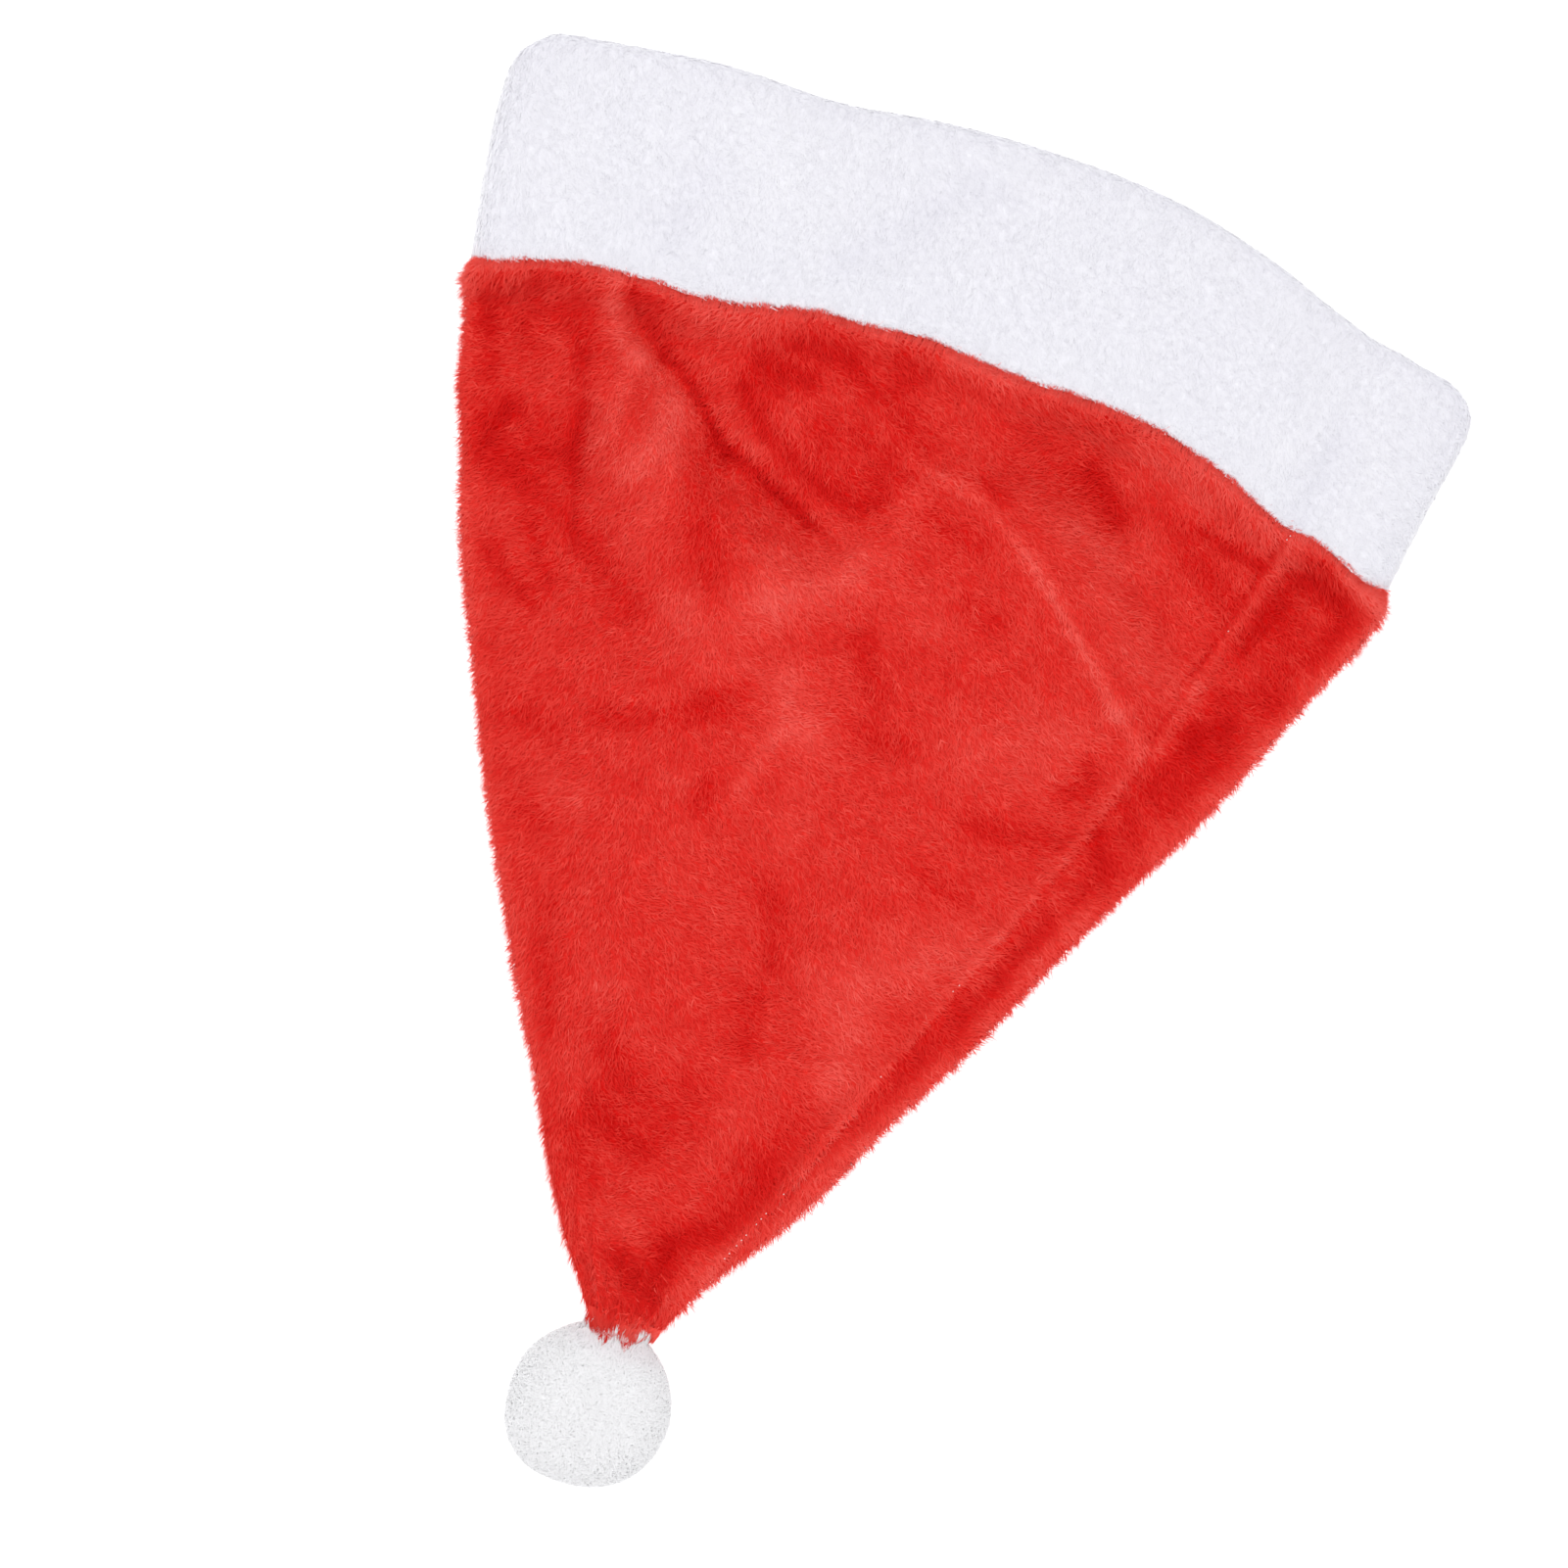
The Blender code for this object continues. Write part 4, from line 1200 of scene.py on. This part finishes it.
def makeTipTufts():
    # rooted on the last of the crown and on the pompom's core, they end at the red end line
    spec = tufts
    draw = np.random.default_rng(spec["seed"] + 1)
    count = int(spec["tipCount"] * pileShare)
    x = neckX + neckReach * draw.uniform(-1, 1, count)
    start = neckY + spec["tipFrom"]
    y = start + (redEndAt(x) + spec["tipPast"] - start) * draw.random(count)
    roots = np.stack([x, y, tipGround(x, y)], axis=1)
    clump = softNoise(roots, spec["tipClump"], spec["seed"] + 2, 24)
    stray, sway = spec["tipSway"]
    tipX = x - spec["tipInward"] * (x - neckX) + stray * draw.normal(size=count) + sway * clump
    tipY = y - spec["tipLength"] * draw.uniform(*spec["tipLengthSpread"], count)
    tipY = np.maximum(tipY, redEndAt(tipX) + spec["tipRagged"] * draw.normal(size=count))
    tipZ = tipGround(tipX, tipY) + spec["tipHeight"] * draw.uniform(*spec["tipHeightSpread"], count)
    normals = unit(np.array((0, 0, 1)) + spec["tipStray"] * draw.normal(size=(count, 3)))
    widths = spec["width"] * draw.uniform(*widthSpread, count)
    _, marks = readMarks(roots, crownFoldAndShadeMarks, crown["markStrength"])
    # with the marks' painted light and shade
    tones = spec["tone"] + marks + spec["clump"] * clump + draw.normal(0, spec["jitter"], count)
    return fibreMesh("tipTufts", roots, normals, np.stack([tipX, tipY, tipZ], axis=1), widths, tones, spec)


# The pompom: a round core with a dense short pile

def onCore(ways):
    # the core's surface in each direction, flat at the floor and where it is sewn on
    points = pompomMiddle + ways * pompomReach(ways, pompom["coreDepth"])[..., None]
    points[..., 2] = np.maximum(points[..., 2], pompom["coreBottom"])
    points[..., 1] = np.minimum(points[..., 1], pompomHigh[1] - pompom["seatGap"])
    return points


def wayOf(turns, tilts):
    return np.stack([np.cos(tilts) * np.cos(turns), np.cos(tilts) * np.sin(turns), np.sin(tilts)], axis=-1)


def makePompom():
    spec = pompom
    draw = np.random.default_rng(spec["seed"])
    rows, columns = spec["coreSteps"]
    turns, tilts = np.meshgrid(np.linspace(0, 2 * math.pi, columns, endpoint=False),
                               np.radians(np.linspace(-90, 90, rows + 2)[1:-1]))
    points, faces = closedTube(onCore(wayOf(turns, tilts)))
    tones = np.full(len(points), spec["tone"])
    ball = meshPiece("pompomCore", points, faces, tones, [pompomGround])
    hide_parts("pompom")

    # the fibres lie every way, and towards the neck beside the red
    count = int(spec["count"] * pileShare)
    steps = np.arange(count) + 0.5
    normals = wayOf(steps * math.pi * (1 + math.sqrt(5)), np.arcsin(1 - 2 * steps / count))
    roots = onCore(normals)
    flow = unit(draw.normal(size=(count, 3)))
    nearRed = ease(1 - (redEndAt(roots[:, 0]) - roots[:, 1]) / spec["lay"])
    nearRed = (nearRed * (roots[:, 2] > pompomMiddle[2]))[:, None]
    flow = flow * (1 - nearRed) + np.array((0, 1, 0)) * nearRed
    ways = raised(flow, normals, spec["rise"], spec, draw)
    tips = roots + ways * spec["length"] * draw.uniform(*spec["lengthSpread"], count)[:, None]

    # each fibre ends on the round form, and stays low where the red lies over it
    out = unit(tips - pompomMiddle)
    reach = pompomReach(out, 0) * (1 - spec["unevenness"] * draw.random(count))
    covered = (tips[:, 1] > redEndAt(tips[:, 0])) & (np.abs(tips[:, 0] - neckX) < neckReach)
    reach -= spec["covered"] * (covered & (tips[:, 2] > pompomMiddle[2]))
    tips = pompomMiddle + out * reach[:, None]
    tips[:, 1] = np.minimum(tips[:, 1], pompomHigh[1] + spec["seatPile"])
    widths = spec["width"] * draw.uniform(*widthSpread, count)
    fromNeck = np.linalg.norm(tips - (neckX, pompomHigh[1], spec["pinkHeight"]), axis=1)
    pink = ease(1 - (fromNeck - spec["pinkFrom"]) / spec["pinkReach"])
    tones = spec["tone"] - spec["pinkTone"] * pink + draw.normal(0, spec["jitter"], count)

    parts = [(roots, normals, tips, widths, tones)]
    for middle, half, number in spec["fluff"]:
        x = (middle + half * draw.uniform(-1, 1, number)) * mm
        y = redEndAt(x) - draw.uniform(*spec["fluffRoot"], number)
        tipX = x + spec["fluffStray"] * draw.normal(size=number)
        tipY = y + draw.uniform(*spec["fluffReach"], number)
        tipZ = tipGround(tipX, tipY) + spec["fluffHeight"] * draw.uniform(*spec["fluffSpread"], number)
        widths = spec["fluffWidth"] * spec["width"] * draw.uniform(*widthSpread, number)
        tones = spec["fluffTone"] + spec["jitter"] * draw.normal(size=number)
        parts.append((np.stack([x, y, tipGround(x, y)], axis=1), np.tile((0.0, 0.0, 1.0), (number, 1)),
                      np.stack([tipX, tipY, tipZ], axis=1), widths, tones))
    pile = fibreMesh("pompomPile", *(np.concatenate(part) for part in zip(*parts)), spec)
    print("pompom: core and pile of", len(faces) + len(pile.data.polygons), "faces")
    return ball


# Loose stitches of the side seam that peep out of the pile

stitches = {
    "places": [(107.4, 120.0), (107.9, 121.3), (100.7, 90.1), (62.0, -31.1), (60.9, -33.3),
               (49.6, -63.2), (34.6, -104.2), (31.7, -111.1), (30.9, -113.0), (30.1, -114.9),
               (28.4, -118.8), (27.6, -120.6), (26.8, -122.5), (25.6, -125.3), (24.8, -127.1)],
    "length": 0.45 * mm,
    "radius": 0.16 * mm,
    "arch": 0.5 * mm,
    "lift": 2.1 * mm,
    "sides": 6,
    "steps": np.linspace(-1, 1, 5),
    "twist": 2500,
    "colors": [(0, (0.90, 0.70, 0.67)), (1, (0.95, 0.86, 0.84))],
}


def stitchShape():
    # one stitch that lies along x: its points and triangles
    sides, steps = stitches["sides"], stitches["steps"]
    turns = np.arange(sides) * 2 * math.pi / sides
    arch = (1 - steps ** 2)[:, None]
    radius = stitches["radius"] * np.sqrt(0.25 + 0.75 * arch)
    along = steps[:, None] * stitches["length"] / 2 + 0 * turns
    height = radius * np.sin(turns) + stitches["arch"] * (arch - 1)
    points = np.stack([along, radius * np.cos(turns), height], axis=-1).reshape(-1, 3)
    rings = np.arange(len(points)).reshape(-1, sides)
    faces = []
    for ring, following in zip(rings, rings[1:]):
        for corner in range(sides):
            beside = (corner + 1) % sides
            faces.append((ring[corner], following[corner], ring[beside]))
            faces.append((ring[beside], following[corner], following[beside]))
    for corner in range(1, sides - 1):
        faces.append((rings[0][0], rings[0][corner], rings[0][corner + 1]))
        faces.append((rings[-1][0], rings[-1][corner + 1], rings[-1][corner]))
    return points, np.array(faces)


def makeStitches():
    material, tree, shader = newMaterial("seamThread")
    twist = placedTexture(tree, "ShaderNodeTexNoise", {"Scale": stitches["twist"]})
    color = colorRamp(tree, twist.outputs["Fac"], stitches["colors"])
    tree.links.new(color, shader.inputs["Base Color"])
    shader.inputs["Roughness"].default_value = 0.6

    shape, triangles = stitchShape()
    path = np.array(seamPath)
    top = crownSkin[:, onTop].reshape(-1, 3)
    points, faces = [], []
    for place in np.array(stitches["places"]):
        # each one lies along the seam's nearest stretch, on the nearest point of the crown
        near, other = path[np.argsort(np.linalg.norm(path - place, axis=1))[:2]]
        along = unit(np.append(near - other, 0))
        axes = np.array((along, (-along[1], along[0], 0), (0, 0, 1)))
        nearest = np.argmin(np.linalg.norm(top[:, :2] - place * mm, axis=1))
        centre = np.array((*(place * mm), top[nearest, 2] + stitches["lift"]))
        faces.append(triangles + len(points) * len(shape))
        points.append(centre + shape @ axes)
    points, faces = np.concatenate(points), np.concatenate(faces)
    thread = meshPiece("seamStitches", points, faces, np.zeros(len(points)), [material])
    print("seam:", len(stitches["places"]), "stitches show")
    return thread


crownPieces = makeCrownPile()
bandPieces = makeBandPile()
tuftPieces = [makeSeamTufts(), makeTipTufts()]
print("tufts:", sum(len(piece.data.polygons) for piece in tuftPieces), "faces")
thread = makeStitches()
ball = makePompom()
